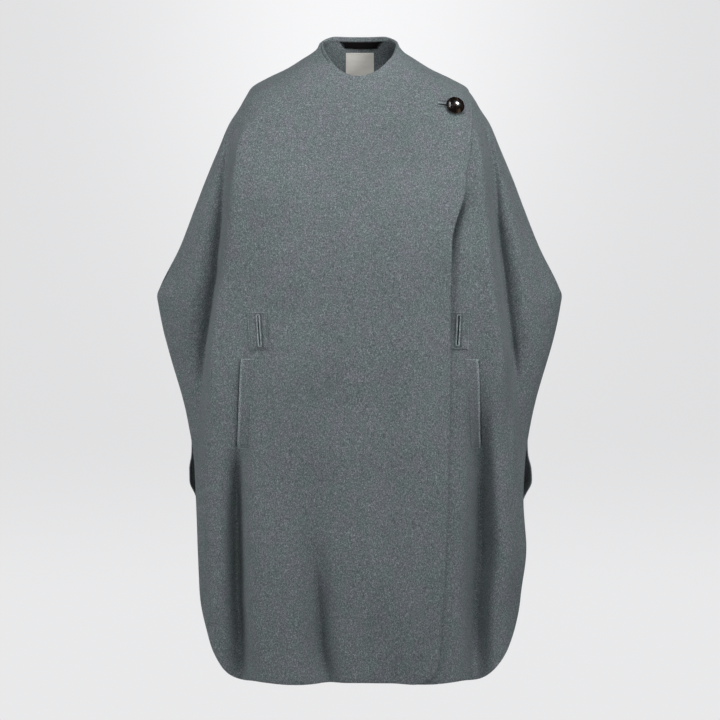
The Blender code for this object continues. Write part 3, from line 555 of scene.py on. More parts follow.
# --------------------------------------------------------------- materials
class Shader:
    """Small helper round one material's node tree."""

    def __init__(self, name):
        self.mat = bpy.data.materials.new(name)
        self.mat.use_nodes = True
        self.nt = self.mat.node_tree
        self.bsdf = self.nt.nodes["Principled BSDF"]
        self.coord = self.nt.nodes.new("ShaderNodeTexCoord").outputs["Object"]

    def node(self, kind, **values):
        n = self.nt.nodes.new(kind)
        for k, v in values.items():
            if k in n.inputs:
                n.inputs[k].default_value = v
            else:
                setattr(n, k, v)
        return n

    def link(self, a, b):
        self.nt.links.new(a, b)

    def mapped(self, scale=(1, 1, 1), rotation=(0, 0, 0)):
        m = self.node("ShaderNodeMapping")
        m.inputs["Scale"].default_value = scale
        m.inputs["Rotation"].default_value = rotation
        self.link(self.coord, m.inputs["Vector"])
        return m.outputs["Vector"]

    def noise(self, scale, detail=2.0, rough=0.5, stretch=(1, 1, 1), distortion=0.0, rotation=(0, 0, 0)):
        n = self.node("ShaderNodeTexNoise")
        n.inputs["Scale"].default_value = scale
        n.inputs["Detail"].default_value = detail
        n.inputs["Roughness"].default_value = rough
        n.inputs["Distortion"].default_value = distortion
        self.link(self.mapped(stretch, rotation), n.inputs["Vector"])
        return n.outputs["Fac"]

    def ramp(self, fac, stops):
        r = self.node("ShaderNodeValToRGB")
        e = r.color_ramp.elements
        while len(e) < len(stops):
            e.new(0.5)
        for item, (pos, col) in zip(e, stops):
            item.position = pos
            item.color = (*col, 1) if len(col) == 3 else col
        self.link(fac, r.inputs["Fac"])
        return r.outputs["Color"]

    def grey(self, fac, lo, hi, a=0.3, b=0.7):
        """Map fac from a..b to lo..hi."""
        m = self.node("ShaderNodeMapRange")
        m.inputs["From Min"].default_value = a
        m.inputs["From Max"].default_value = b
        m.inputs["To Min"].default_value = lo
        m.inputs["To Max"].default_value = hi
        self.link(fac, m.inputs["Value"])
        return m.outputs["Result"]

    def math(self, op, a, b):
        m = self.node("ShaderNodeMath", operation=op)
        for k, v in ((0, a), (1, b)):
            if isinstance(v, (int, float)):
                m.inputs[k].default_value = v
            else:
                self.link(v, m.inputs[k])
        return m.outputs["Value"]

    def mix(self, kind, a, b, fac=1.0):
        m = self.node("ShaderNodeMix", data_type="RGBA", blend_type=kind)
        for k, v in (("Factor", fac),):
            if isinstance(v, (int, float)):
                m.inputs[0].default_value = v
            else:
                self.link(v, m.inputs[0])
        for k, v in ((6, a), (7, b)):
            if isinstance(v, tuple):
                m.inputs[k].default_value = (*v, 1)
            else:
                self.link(v, m.inputs[k])
        return m.outputs[2]

    def colour(self, out):
        self.link(out, self.bsdf.inputs["Base Color"])

    def bump(self, height, distance, strength=1.0):
        b = self.node("ShaderNodeBump")
        b.inputs["Distance"].default_value = distance
        b.inputs["Strength"].default_value = strength
        self.link(height, b.inputs["Height"])
        self.link(b.outputs["Normal"], self.bsdf.inputs["Normal"])

    def set(self, **values):
        for k, v in values.items():
            self.bsdf.inputs[k.replace("_", " ")].default_value = v


def wool(name, gain=1.0, grain=1.0):
    """Brushed melange coating: light, mid and dark fibres carded together,
    soft tint clouds, a short nap that catches light, single stray fibres."""
    s = Shader(name)
    flock = s.noise(700, 2.8, 0.62, (1, 1, 0.62))
    tone = s.ramp(flock, ((0.28, (0.066 * gain, 0.080 * gain, 0.085 * gain)),
                          (0.43, (0.122 * gain, 0.143 * gain, 0.150 * gain)),
                          (0.55, (0.184 * gain, 0.212 * gain, 0.221 * gain)),
                          (0.70, (0.330 * gain, 0.372 * gain, 0.386 * gain))))
    cloud = s.noise(44, 2.0, 0.55, (1, 1, 0.8), 0.4)
    tint = s.ramp(cloud, ((0.34, (0.95, 1.015, 0.985)), (0.50, (1.0, 1.0, 1.0)),
                          (0.66, (1.05, 0.985, 1.045))))
    broad = s.ramp(s.noise(7.0, 2.0, 0.5), ((0.3, (0.94, 0.94, 0.94)), (0.7, (1.06, 1.06, 1.06))))
    up = s.noise(1000, 2.0, 0.55, (1, 1, 0.16), 0.25)
    across = s.noise(1000, 2.0, 0.55, (0.16, 0.5, 1), 0.25)
    strands = s.math("MAXIMUM", up, across)
    edge_light = s.node("ShaderNodeAttribute", attribute_name="painted_edge_highlight").outputs["Fac"]
    ditch_shade = s.node("ShaderNodeAttribute", attribute_name="painted_ditch_shade").outputs["Fac"]
    fibre = s.ramp(strands, ((0.50, (0.80, 0.80, 0.80)), (0.60, (0.98, 0.98, 0.98)),
                             (0.70, (1.34, 1.34, 1.34))))
    c = s.mix("MULTIPLY", tone, tint)
    c = s.mix("MULTIPLY", c, broad)
    c = s.mix("MULTIPLY", c, fibre, 0.75 * grain)
    # Painted highlight: the edge mark lightens the wool up to 1.75 times where light catches edges and lips.
    c = s.mix("MULTIPLY", c, s.ramp(edge_light, ((0.0, (1.0, 1.0, 1.0)), (1.0, (1.75, 1.75, 1.73)))))
    # Painted shade: the ditch mark darkens the wool to about half in seam ditches and beside slits, where shade
    # falls.
    c = s.mix("MULTIPLY", c, s.ramp(ditch_shade, ((0.0, (1.0, 1.0, 1.0)), (1.0, (0.48, 0.48, 0.48)))))
    s.colour(c)
    nap = s.math("ADD", s.math("MULTIPLY", flock, 0.75), s.math("MULTIPLY", strands, 0.55))
    s.bump(nap, 0.0011, 0.55)
    s.set(Roughness=0.92, Sheen_Weight=0.16, Sheen_Roughness=0.42,
          Sheen_Tint=(0.80, 0.90, 0.93, 1), Specular_IOR_Level=0.22)
    return s.mat


def thread_material():
    s = Shader("sewing_thread")
    ply = s.noise(2600, 2.0, 0.5, (1, 1, 0.3))
    s.colour(s.ramp(ply, ((0.35, (0.050, 0.060, 0.064)), (0.65, (0.120, 0.138, 0.145)))))
    s.bump(ply, 0.0002, 0.6)
    s.set(Roughness=0.62, Sheen_Weight=0.1)
    return s.mat


def horn_material():
    """Polished dark horn: almost black, with brown and olive growth streaks."""
    s = Shader("polished_horn")
    streak = s.noise(95, 5.0, 0.62, (1.0, 1.0, 0.30), 1.6, (0.0, 0.5, 0.0))
    tone = s.ramp(streak, ((0.34, (0.0035, 0.0028, 0.0026)), (0.50, (0.0085, 0.0060, 0.0048)),
                           (0.60, (0.030, 0.020, 0.0135)), (0.74, (0.085, 0.066, 0.040))))
    pores = s.ramp(s.noise(1400, 2.0, 0.5), ((0.30, (0.55, 0.50, 0.48)), (0.48, (1, 1, 1))))
    s.colour(s.mix("MULTIPLY", tone, pores))
    scratches = s.noise(1900, 2.0, 0.5, (1, 1, 0.08), 0.0, (0.3, 0.6, 0.2))
    s.bump(scratches, 0.00003, 0.5)
    s.link(s.grey(s.noise(380, 3.0, 0.6), 0.10, 0.22), s.bsdf.inputs["Roughness"])
    s.set(IOR=1.55, Coat_Weight=0.6, Coat_Roughness=0.05)
    return s.mat


def tape_material():
    """Black twill tape: fine diagonal ribs."""
    s = Shader("black_twill_tape")
    w = s.node("ShaderNodeTexWave", wave_type="BANDS", bands_direction="DIAGONAL")
    w.inputs["Scale"].default_value = 260
    w.inputs["Distortion"].default_value = 0.6
    w.inputs["Detail"].default_value = 1.0
    s.link(s.mapped(), w.inputs["Vector"])
    fuzz = s.noise(1500, 2.0, 0.5)
    s.colour(s.mix("MULTIPLY", s.ramp(w.outputs["Fac"], ((0.2, (0.0022, 0.0018, 0.0022)), (0.8, (0.0075, 0.0060, 0.0066)))),
                   s.ramp(fuzz, ((0.3, (0.7, 0.7, 0.7)), (0.7, (1.25, 1.25, 1.25))))))
    s.bump(w.outputs["Fac"], 0.00025, 0.8)
    s.set(Roughness=0.78, Sheen_Weight=0.02, Sheen_Roughness=0.35, Specular_IOR_Level=0.25)
    return s.mat


def label_material():
    """Cream damask label, left bare: fine weft ribs, a little slubbed."""
    s = Shader("cream_woven_label")
    ribs = s.node("ShaderNodeTexWave", wave_type="BANDS", bands_direction="Z")
    ribs.inputs["Scale"].default_value = 620
    ribs.inputs["Distortion"].default_value = 0.4
    s.link(s.mapped(), ribs.inputs["Vector"])
    warp = s.node("ShaderNodeTexWave", wave_type="BANDS", bands_direction="X")
    warp.inputs["Scale"].default_value = 900
    s.link(s.mapped(), warp.inputs["Vector"])
    slub = s.noise(160, 3.0, 0.55, (0.25, 1, 1))
    base = s.ramp(slub, ((0.3, (0.88, 0.862, 0.81)), (0.7, (0.95, 0.935, 0.885))))
    cell = s.math("MULTIPLY", ribs.outputs["Fac"], warp.outputs["Fac"])
    s.colour(s.mix("MULTIPLY", base, s.ramp(cell, ((0.0, (0.90, 0.89, 0.87)), (0.6, (1.03, 1.03, 1.03))))))
    s.bump(cell, 0.00018, 0.7)
    s.set(Roughness=0.5, Sheen_Weight=0.2, Sheen_Roughness=0.3)
    return s.mat


WOOL = wool("wool_melange")
WOOL_TRIM = wool("wool_melange_trim", 0.97, 0.9)
WOOL_BAND = wool("wool_melange_band", 1.13, 0.9)
THREAD = thread_material()
HORN = horn_material()
TAPE = tape_material()
LABEL = label_material()


# ------------------------------------------------------------------- panels
def none(q):
    return H_TOP


def hem(h, q):
    return H_END


def up_from_hem(lift, q):
    """Level that lies a length above the hem."""
    per = (form("F", H_END, q) - form("F", H_END + 6, q)).length / 6
    return H_END + lift / per


def overlap_hem(h, q):
    e = free_edge_q(H_END)
    d = max(0.0, min(HEM_CORNER, (e - q) * section(H_END)["ridge_x"]))
    lift = HEM_CORNER - math.sqrt(HEM_CORNER**2 - (HEM_CORNER - d) ** 2)
    return up_from_hem(lift, q)


# Sewn edges meet, so that no light comes through a seam.
front_right = cloth_panel(
    "wool_front_right", "F", lambda h: -3, free_edge_q,
    lambda q: (H_TOP - 5.5 * (1 - smooth(-1.6, 0.6, q)) * smooth(-3, -2.3, q)
               - 6.0 * smooth(2.0, 2.82, q)), overlap_hem,
    overlap_offsets, WOOL, 640)
front_left = cloth_panel(
    "wool_front_left", "F", lambda h: -free_edge_q(h), lambda h: 3,
    lambda q: H_TOP - 2.75 * smooth(-0.6, 1.6, q), hem,
    under_offsets, WOOL, 640)
back_right = cloth_panel(
    "wool_back_right", "B", lambda h: -3, lambda h: 0.04 / section(h)["ridge_x"],
    none, hem, lambda h, q: (-CLOTH_T, 0.0), WOOL, 400)
back_left = cloth_panel(
    "wool_back_left", "B", lambda h: -0.04 / section(h)["ridge_x"], lambda h: 3,
    none, hem, lambda h, q: (-CLOTH_T, 0.0), WOOL, 400)


# --------------------------------------------------------- pieces on the cloth
class Face:
    """Front face of a finished panel, found along Y."""

    def __init__(self, ob):
        bm = bmesh.new()
        bm.from_mesh(ob.data)
        self.tree = BVHTree.FromBMesh(bm)
        bm.free()

    def hit(self, x, z):
        p, n, _, _ = self.tree.ray_cast(Vector((x * MM, -1.0, z * MM)), Vector((0, 1, 0)))
        if p is None:
            raise ValueError("no cloth at %.0f, %.0f" % (x, z))
        return p * 1000.0, (n if n.y < 0 else -n)


def soften(normals, times=3):
    for _ in range(times):
        nr, nc = len(normals), len(normals[0])
        normals = [[sum((normals[a][b] for a in range(max(0, i - 1), min(nr, i + 2))
                         for b in range(max(0, j - 1), min(nc, j + 2))), Vector()).normalized()
                    for j in range(nc)] for i in range(nr)]
    return normals


def patch(name, face, point, nu, nv, offsets, mat, bead=0.5):
    us, vs = [k / nu for k in range(nu + 1)], [k / nv for k in range(nv + 1)]
    hits = [[face.hit(*point(u, v)) for u in us] for v in vs]
    normals = soften([[h[1] for h in row] for row in hits])
    rows = []
    for i, v in enumerate(vs):
        row = []
        for j, u in enumerate(us):
            lo, hi = offsets(u, v)
            p, n = hits[i][j][0], normals[i][j]
            row.append((p + n * lo, p + n * hi))
        rows.append(row)
    return closed_wall(rows, name, mat, bead)


def quad(corners):
    (ax, az), (bx, bz), (cx, cz), (dx, dz) = corners

    def point(u, v):
        return ((ax * (1 - u) + bx * u) * (1 - v) + (cx * (1 - u) + dx * u) * v,
                (az * (1 - u) + bz * u) * (1 - v) + (cz * (1 - u) + dz * u) * v)
    return point


def finish_mesh(bm, name, mat):
    bmesh.ops.recalc_face_normals(bm, faces=bm.faces)
    me = bpy.data.meshes.new(name)
    bm.to_mesh(me)
    bm.free()
    me.materials.append(mat)
    me.shade_smooth()
    ob = bpy.data.objects.new(name, me)
    bpy.context.scene.collection.objects.link(ob)
    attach(ob, "root")
    return ob


def lips(name, face, top, low, profile, mat, per_side=14):
    """Bound lips round a slit from top to low: a closed profile (distance from
    the slit's line, height over the cloth) carried round a rectangle."""
    ax, az = top
    bx_, bz_ = low
    d = Vector((bx_ - ax, bz_ - az))
    length = d.length
    d.normalize()
    side = Vector((-d.y, d.x))
    mid = Vector(((ax + bx_) / 2, (az + bz_) / 2))
    bm = bmesh.new()
    rings = []
    stations = []
    for k in range(per_side):
        stations.append((-1 + 2 * k / per_side, 1, 0))
    for k in range(4):
        stations.append((1, 1 - 2 * k / 4, 1))
    for k in range(per_side):
        stations.append((1 - 2 * k / per_side, -1, 0))
    for k in range(4):
        stations.append((-1, -1 + 2 * k / 4, 1))
    for a, b, _ in stations:
        ring = []
        for r, hgt in profile:
            q = mid + d * (a * (length / 2 + (r - profile[0][0]) * 0.8)) + side * (b * r)
            p, n = face.hit(q.x, q.y)
            ring.append(bm.verts.new((p + n * hgt) * MM))
        rings.append(ring)
    m = len(profile)
    for i in range(len(rings)):
        a, b = rings[i], rings[(i + 1) % len(rings)]
        for j in range(m):
            k = (j + 1) % m
            bm.faces.new((a[j], a[k], b[k], b[j]))
    return finish_mesh(bm, name, mat)


def stitches(name, runs, pitch=3.2, long_=2.5, r=0.34, sink=0.25):
    """Rows of lock stitches: runs of (point, normal) lists in mm."""
    bm = bmesh.new()
    for run in runs:
        acc = [0.0]
        for (p, _), (g, _) in zip(run, run[1:]):
            acc.append(acc[-1] + (g - p).length)
        s = 0.3 * pitch
        while s + long_ < acc[-1]:
            rings = []
            for t, h in ((0.0, -sink), (0.16, 0.16), (0.5, 0.30), (0.84, 0.16), (1.0, -sink)):
                at = s + long_ * t
                k = 0
                while k < len(acc) - 2 and acc[k + 1] < at:
                    k += 1
                f = (at - acc[k]) / max(1e-6, acc[k + 1] - acc[k])
                p = run[k][0].lerp(run[k + 1][0], f)
                n = run[k][1].lerp(run[k + 1][1], f).normalized()
                d = (run[k + 1][0] - run[k][0]).normalized()
                b = n.cross(d).normalized()
                rr = r * (0.55 if t in (0.0, 1.0) else 1.0)
                rings.append([bm.verts.new((p + n * (h + rr * math.sin(w)) + b * (rr * math.cos(w))) * MM)
                              for w in [2 * math.pi * i / 6 for i in range(6)]])
            for a, b2 in zip(rings, rings[1:]):
                for i in range(6):
                    j = (i + 1) % 6
                    bm.faces.new((a[i], a[j], b2[j], b2[i]))
            bm.faces.new(rings[0][::-1])
            bm.faces.new(rings[-1])
            s += pitch
    ob = finish_mesh(bm, name, THREAD)
    return ob


def path_on(face, corners, step=3.0, lift=0.0):
    out = []
    for (ax, az), (bx_, bz_) in zip(corners, corners[1:]):
        n = max(1, int(math.hypot(bx_ - ax, bz_ - az) / step))
        for k in range(n + (1 if (bx_, bz_) == corners[-1] else 0)):
            t = k / n
            p, nn = face.hit(ax + (bx_ - ax) * t, az + (bz_ - az) * t)
            out.append((p + nn * lift, nn))
    return out


over, under = Face(front_right), Face(front_left)
LIPS = ((1.15, 0.9), (1.15, 2.7), (1.5, 3.3), (2.2, 3.55), (3.0, 3.3), (3.5, 2.8), (3.7, 2.0),
        (2.9, 1.8), (1.9, 1.5))
FRAME_IN = 15.5      # belt slit's stitched frame: half width
CUTS = {"right": [], "left": []}
FACINGS = {}


def cutter(face, top, low, half, depth=(-3.4, 4.0), nv=6):
    """Narrow through cutter for a slit, as closed wall without rounding."""
    (ax, az), (bx_, bz_) = top, low
    d = Vector((bx_ - ax, bz_ - az)).normalized()
    sx, sz = -d.y * half, d.x * half
    pt = quad(((ax - sx, az - sz), (ax + sx, az + sz), (bx_ - sx, bz_ - sz), (bx_ + sx, bz_ + sz)))
    hits = [[face.hit(*pt(u, v)) for u in (0, 1)] for v in [k / nv for k in range(nv + 1)]]
    nrm = soften([[h[1] for h in r] for r in hits])
    rows = [[(hits[i][j][0] + nrm[i][j] * depth[0], hits[i][j][0] + nrm[i][j] * depth[1])
             for j in (0, 1)] for i in range(nv + 1)]
    ob = closed_wall(rows, "cut", WOOL, bead=0, body=None)
    return ob


def graded(ob, name, value):
    """Says for each point how strongly its wool is painted: a painted highlight on an edge, painted shade in a seam's
    ditch.
    """
    at = ob.data.attributes.new(name, "FLOAT", "POINT")
    for k, v in enumerate(ob.data.vertices):
        at.data[k].value = value(v.co.x / MM, v.co.z / MM)


def in_quad(corners, x, z):
    """Place (u, v) of a point in an upright patch, the inverse of quad()."""
    (ax, az), (bx, bz), (cx, cz), (dx, dz) = corners
    v = (az - z) / (az - cz)
    left, right = ax + (cx - ax) * v, bx + (dx - bx) * v
    return (x - left) / (right - left), v


# tag: (slit's upper and lower end), (facing's four corners), in X and Z
BELT_SLITS = {
    "right": (((-172.4, -423.5), (-168.8, -474.5)),
              ((-190.6, -417.0), (-157.6, -417.0), (-187.0, -481.3), (-154.0, -481.3))),
    "left": (((169.9, -423.5), (167.2, -473.5)),
             ((154.6, -416.5), (187.4, -416.5), (154.0, -480.8), (185.2, -480.8))),
}


def trim(tag, face, s):
    """Belt slit with its stitched frame, and the pocket welt; s is -1 or +1."""
    (top, low), facing = BELT_SLITS[tag]
    a = lips("wool_belt_slit_" + tag, face, top, low, LIPS, WOOL_TRIM)
    # Painted highlight over the whole of the belt slit's bound lips.
    graded(a, "painted_edge_highlight", lambda x, z: 1.0)
    (ax, az), (bx_, bz_), (cx, cz), (dx, dz) = facing
    frame_line = [(ax + 2, az - 2), (bx_ - 2, bz_ - 2), (dx - 2, dz + 2), (cx + 2, cz + 2), (ax + 2, az - 2)]
    ditch_line = [(top[0] - 4.3, top[1] + 3.5), (top[0] + 4.3, top[1] + 3.5),
                  (low[0] + 4.3, low[1] - 3.5), (low[0] - 4.3, low[1] - 3.5), (top[0] - 4.3, top[1] + 3.5)]
    e = patch("wool_belt_facing_" + tag, face, quad(facing), 16, 32,
              lambda u, v: (0.25, 2.25 + 0.25 * math.sin(math.pi * u) * math.sin(math.pi * v)), WOOL_TRIM, 0.9)
    ef = Face(e)
    b = stitches("stitching_frame_" + tag, [path_on(ef, frame_line), path_on(ef, ditch_line)], 2.9, 2.4, 0.38)

    # Painted shade in a narrow ditch beside the slit.
    def slit_shade(x, z):
        v = (top[1] - z) / (top[1] - low[1])
        away = abs(x - (top[0] + (low[0] - top[0]) * v))
        return math.exp(-((away - 4.8) / 1.6) ** 2) * smooth(-0.10, -0.02, v) * (1 - smooth(1.02, 1.10, v))
    graded(e, "painted_ditch_shade", slit_shade)

    # Painted highlight along the facing's border.
    def facing_highlight(x, z):
        u, v = in_quad(facing, x, z)
        d = min(u * 33, (1 - u) * 33, v * 64, (1 - v) * 64)
        return 0.40 * (1 - smooth(0.6, 2.6, d))
    graded(e, "painted_edge_highlight", facing_highlight)
    corners = [(s * 179, -497), (s * 202, -497), (s * 189, -651), (s * 208, -651)]

    def offs(u, v):
        gape = WELT_MOUTH * u**2.2 * smooth(0, 0.10, v) * smooth(0, 0.10, 1 - v)
        ends = 0.55 + 0.45 * smooth(0, 0.05, v) * smooth(0, 0.05, 1 - v)
        seam = 1 - smooth(0, 0.3, u)        # it comes out of the seam on its inner side
        thick = (0.5 + (WELT_T - 0.5) * (1 - seam)) * ends
        return 0.15 + gape - 0.4 * seam, 0.15 + thick + gape + 0.3 * math.sin(math.pi * u)
    c = patch("wool_pocket_welt_" + tag, face, quad(corners), 16, 60, offs, WOOL_TRIM, 0.9)

    # Painted highlight along the welt's outer edge, its seam and its ends.
    def welt_highlight(x, z):
        u, v = in_quad(corners, x, z)
        u = min(1, max(0, u))
        outer = smooth(0.84, 0.97, u) * (0.75 + 0.25 * smooth(0.4, 0.9, v))
        seam = 0.75 * (1 - smooth(0.0, 0.07, u)) * smooth(0.12, 0.4, v)
        ends = 0.8 * (1 - smooth(0.003, 0.014, min(v, 1 - v)))
        return max(outer, seam, ends)

    # Painted shade in the welt's seam ditch, and darker towards the welt's lower end.
    def welt_shade(x, z):
        u, v = in_quad(corners, x, z)
        return 0.50 * math.exp(-((u - 0.13) / 0.06) ** 2) * smooth(0.2, 0.6, v) + 0.16 * smooth(0.45, 0.95, v)
    graded(c, "painted_edge_highlight", welt_highlight)
    graded(c, "painted_ditch_shade", welt_shade)
    wf = Face(c)
    inner = quad(corners)
    ends = []
    for v0 in (0.018, 0.982):
        line = [inner(0.10 + 0.8 * k / 6, v0) for k in range(7)]
        ends.append([(wf.hit(*q)[0], wf.hit(*q)[1]) for q in line])
    d = stitches("stitching_welt_" + tag, ends, 2.7, 2.2, 0.34)
    CUTS[tag] += [cutter(face, top, low, 1.2, (-3.4, 1.0)),
                  cutter(face, (s * 202.9, -501), (s * 209.1, -647), 1.1, (-3.4, 1.0), 14)]
    CUTS["facing_" + tag] = [cutter(face, top, low, 1.2, (-3.4, 3.2))]
    FACINGS[tag] = e
    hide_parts("belt_slit_" + tag)
    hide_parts("pocket_welt_" + tag)


trim("right", over, -1)
trim("left", under, 1)

# -------------------------------------------------------- button, buttonhole
bx, bz = BUTTON_XZ
HOLE = ((1.05, -0.6), (1.05, 0.35), (1.45, 0.85), (2.5, 1.10), (3.7, 0.85), (4.5, 0.25), (4.7, -0.3),
        (3.3, -0.7), (2.0, -0.75))
ex, ez = bx - 2.4, bz - 3.4      # the buttonhole's end, where the shank comes through
hole = lips("wool_buttonhole", over, (bx - BUTTONHOLE_LEN - 0.5, bz + 0.9), (ex + 3.0, ez + 0.1), HOLE, WOOL_TRIM, 18)


# Painted highlight on the buttonhole's upper lip.
def buttonhole_highlight(x, z):
    t = (x - (bx - BUTTONHOLE_LEN)) / (ex - (bx - BUTTONHOLE_LEN))
    return 0.5 * smooth(0.2, 1.6, z - (bz + 0.9 + (ez - bz - 0.9) * t))


graded(hole, "painted_edge_highlight", buttonhole_highlight)
bar = stitches("stitching_buttonhole", [path_on(over, [(bx - BUTTONHOLE_LEN - 0.5, bz + 7.0), (bx - 6.0, bz + 5.0)])],
               2.4, 2.3, 0.62)
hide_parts("buttonhole")
CUTS["right"].append(cutter(over, (bx - BUTTONHOLE_LEN, bz + 0.9), (ex + 2.6, ez + 0.1), 1.0, (-3.4, 1.0), 4))

p_over, n_over = over.hit(ex, ez)
n_over = soften([[over.hit(ex + i * 6, ez + j * 6)[1] for i in (-1, 0, 1)] for j in (-1, 0, 1)])[1][1]
axis = (n_over + Vector((0, -0.38, 0))).normalized()
DOME = tuple((15.2 * k / 24, 5.6 - 2.8 * (k / 24) ** 2.1) for k in range(25))
PROFILE = DOME + ((15.5, 2.62), (15.75, 2.35), (15.95, 2.02), (BUTTON_R, 1.65), (BUTTON_R - 0.05, 1.3),
                  (15.85, 0.95), (15.5, 0.6), (15.0, 0.33), (14.2, 0.12), (12.4, 0.0), (6.0, -0.1), (2.3, 0.0))
SHANK_L = BUTTON_LIFT + CLOTH_T + LAYER_GAP - 0.5


def turned(name, profile, mat, steps=96):
    """Turned body round +Z with smooth profile."""
    bm = bmesh.new()
    rings = []
    for r, z in profile:
        if r < 1e-6:
            rings.append([bm.verts.new((0, 0, z * MM))])
        else:
            rings.append([bm.verts.new((r * MM * math.cos(2 * math.pi * k / steps),
                                        r * MM * math.sin(2 * math.pi * k / steps), z * MM))
                          for k in range(steps)])
    for a, b in zip(rings, rings[1:]):
        for k in range(steps):
            m = (k + 1) % steps
            if len(a) == 1:
                bm.faces.new((a[0], b[k], b[m]))
            elif len(b) == 1:
                bm.faces.new((a[k], b[0], a[m]))
            else:
                bm.faces.new((a[k], b[k], b[m], a[m]))
    turn = Vector((0, 0, 1)).rotation_difference(axis).to_matrix().to_4x4()
    bmesh.ops.transform(bm, matrix=Matrix.Translation((p_over + axis * BUTTON_LIFT) * MM) @ turn, verts=bm.verts)
    return finish_mesh(bm, name, mat)


button = turned("horn_button", PROFILE + ((2.3, -0.6), (1.7, -1.0), (0.0, -1.0)), HORN)
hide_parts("button")
shank = turned("button_shank", ((0.0, -0.6), (1.3, -0.7), (1.55, -1.6), (1.4, -2.6), (1.6, -3.6), (1.45, -4.6),
                                (1.6, -SHANK_L + 0.8), (0.9, -SHANK_L), (0.0, -SHANK_L)), THREAD, 24)


# ---------------------------------------------------------- inside the neck
def form_normal(side, h, q):
    qa, qb = max(-3, q - 0.01), min(3, q + 0.01)
    ha, hb = min(H_TOP, h + 0.5), max(H_END, h - 0.5)
    across = form(side, h, qb) - form(side, h, qa)
    down = form(side, hb, q) - form(side, ha, q)
    n = down.cross(across) if side == "F" else across.cross(down)
    return n.normalized()


def level_below(side, q, mm, start=None):
    """Level that lies a length below the neckline at place q."""
    h, left = (H_TOP if start is None else start), mm
    while left > 0:
        d = (form(side, h, q) - form(side, h - 0.5, q)).length
        if d >= left:
            return h - 0.5 * left / d
        left -= d
        h -= 0.5
    return h


def q_at_x(side, h, x):
    lo, hi = -3.0, 3.0
    for _ in range(40):
        mid = (lo + hi) / 2
        if form(side, h, mid).x < x:
            lo = mid
        else:
            hi = mid
    return (lo + hi) / 2


def inside_strip(name, side, h_at, q_at, offsets, nu, nv, mat, bead=0.5):
    """Strip on the inner face: h_at(u, v), q_at(u, v), offsets(u, v)."""
    rows = []
    for i in range(nv + 1):
        row = []
        for j in range(nu + 1):
            u, v = j / nu, i / nv
            h, q = h_at(u, v), q_at(u, v)
            p, n = form(side, h, q), form_normal(side, h, q)
            w = waver(p)
            lo, hi = offsets(u, v)
            row.append((p - n * (CLOTH_T + hi - w), p - n * (CLOTH_T + lo - w)))
        rows.append(row)
    return closed_wall(rows, name, mat, bead)


h_band = level_below("B", 0, BAND_H)
band_back = inside_strip("wool_neck_band_back", "B", lambda u, v: H_TOP + (h_band - H_TOP) * v,
                         lambda u, v: -2.985 + 5.97 * u,
                         lambda u, v: (0.15, 0.15 + BAND_T + 0.25 * math.sin(math.pi * v)), 90, 5, WOOL_BAND, 0.6)
h_f0 = H_TOP - 3.0
h_f1 = level_below("F", 0, BAND_H - 1.5, h_f0)
band_front = inside_strip("wool_neck_band_front", "F", lambda u, v: h_f0 + (h_f1 - h_f0) * v,
                          lambda u, v: -2.78 + (2.945 + 2.78) * u,
                          lambda u, v: (0.15, 0.15 + BAND_T + 0.25 * math.sin(math.pi * v)), 110, 5, WOOL_BAND, 0.6)
for o, n in ((band_back, "neck_band_back"), (band_front, "neck_band_front")):
    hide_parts(n)

l_top, l_low = level_below("B", 0, 28.0), level_below("B", 0, 28.0 + LABEL_H)


def label_q(h, u):
    lo, hi = q_at_x("B", h, 0.6 - LABEL_W / 2), q_at_x("B", h, 0.6 + LABEL_W / 2)
    return lo + (hi - lo) * u


label = inside_strip("neck_label_bare", "B", lambda u, v: l_top + (l_low - l_top) * v,
                     lambda u, v: label_q(l_top + (l_low - l_top) * v, u),
                     lambda u, v: (0.35 + 0.5 * v * math.sin(math.pi * u), 0.95 + 0.5 * v * math.sin(math.pi * u)),
                     24, 20, LABEL, 0.22)
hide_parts("neck_label")


def inner_path(side, place, lift):
    out = []
    for h, q in place:
        p, n = form(side, h, q), form_normal(side, h, q)
        out.append((p - n * (CLOTH_T - waver(p) + lift), -n))
    return out


label_rows = []
for v in (0.035, 0.965):
    label_rows.append(inner_path("B", [(l_top + (l_low - l_top) * v,
                                        label_q(l_top + (l_low - l_top) * v, 0.02 + 0.96 * k / 20))
                                       for k in range(21)], 0.95 + 0.25 * v))
label_thread = stitches("stitching_label", label_rows, 2.4, 1.9, 0.2)

p_top, p_low = level_below("B", 0, BAND_H + 0.6), level_below("B", 0, BAND_H + 0.6 + LOOP_H)


def loop_q(u, v):
    h = p_top + (p_low - p_top) * v
    lo = q_at_x("B", h, LOOP_X[0] + LOOP_SLANT * v)
    hi = q_at_x("B", h, LOOP_X[1] - LOOP_SLANT * v)
    return lo + (hi - lo) * u


def loop_off(u, v):
    b = LOOP_BOW * math.sin(math.pi * min(1.0, max(0.0, (u - 0.05) / 0.9))) ** 0.8 * (0.55 + 0.45 * v)
    return 0.3 + b, 0.3 + LOOP_T + b


loop = inside_strip("hanger_loop_tape", "B", lambda u, v: p_top + (p_low - p_top) * v,
                    loop_q, loop_off, 44, 6, TAPE, 0.35)
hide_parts("hanger_loop")
bars = []
for u in (0.025, 0.975):
    for du in (-0.008, 0.008):
        bars.append(inner_path("B", [(p_top + (p_low - p_top) * (0.08 + 0.84 * k / 8), loop_q(u + du, 0.08 + 0.84 * k / 8))
                                     for k in range(9)], 1.35))
loop_thread = stitches("stitching_loop", bars, 2.0, 1.7, 0.24)

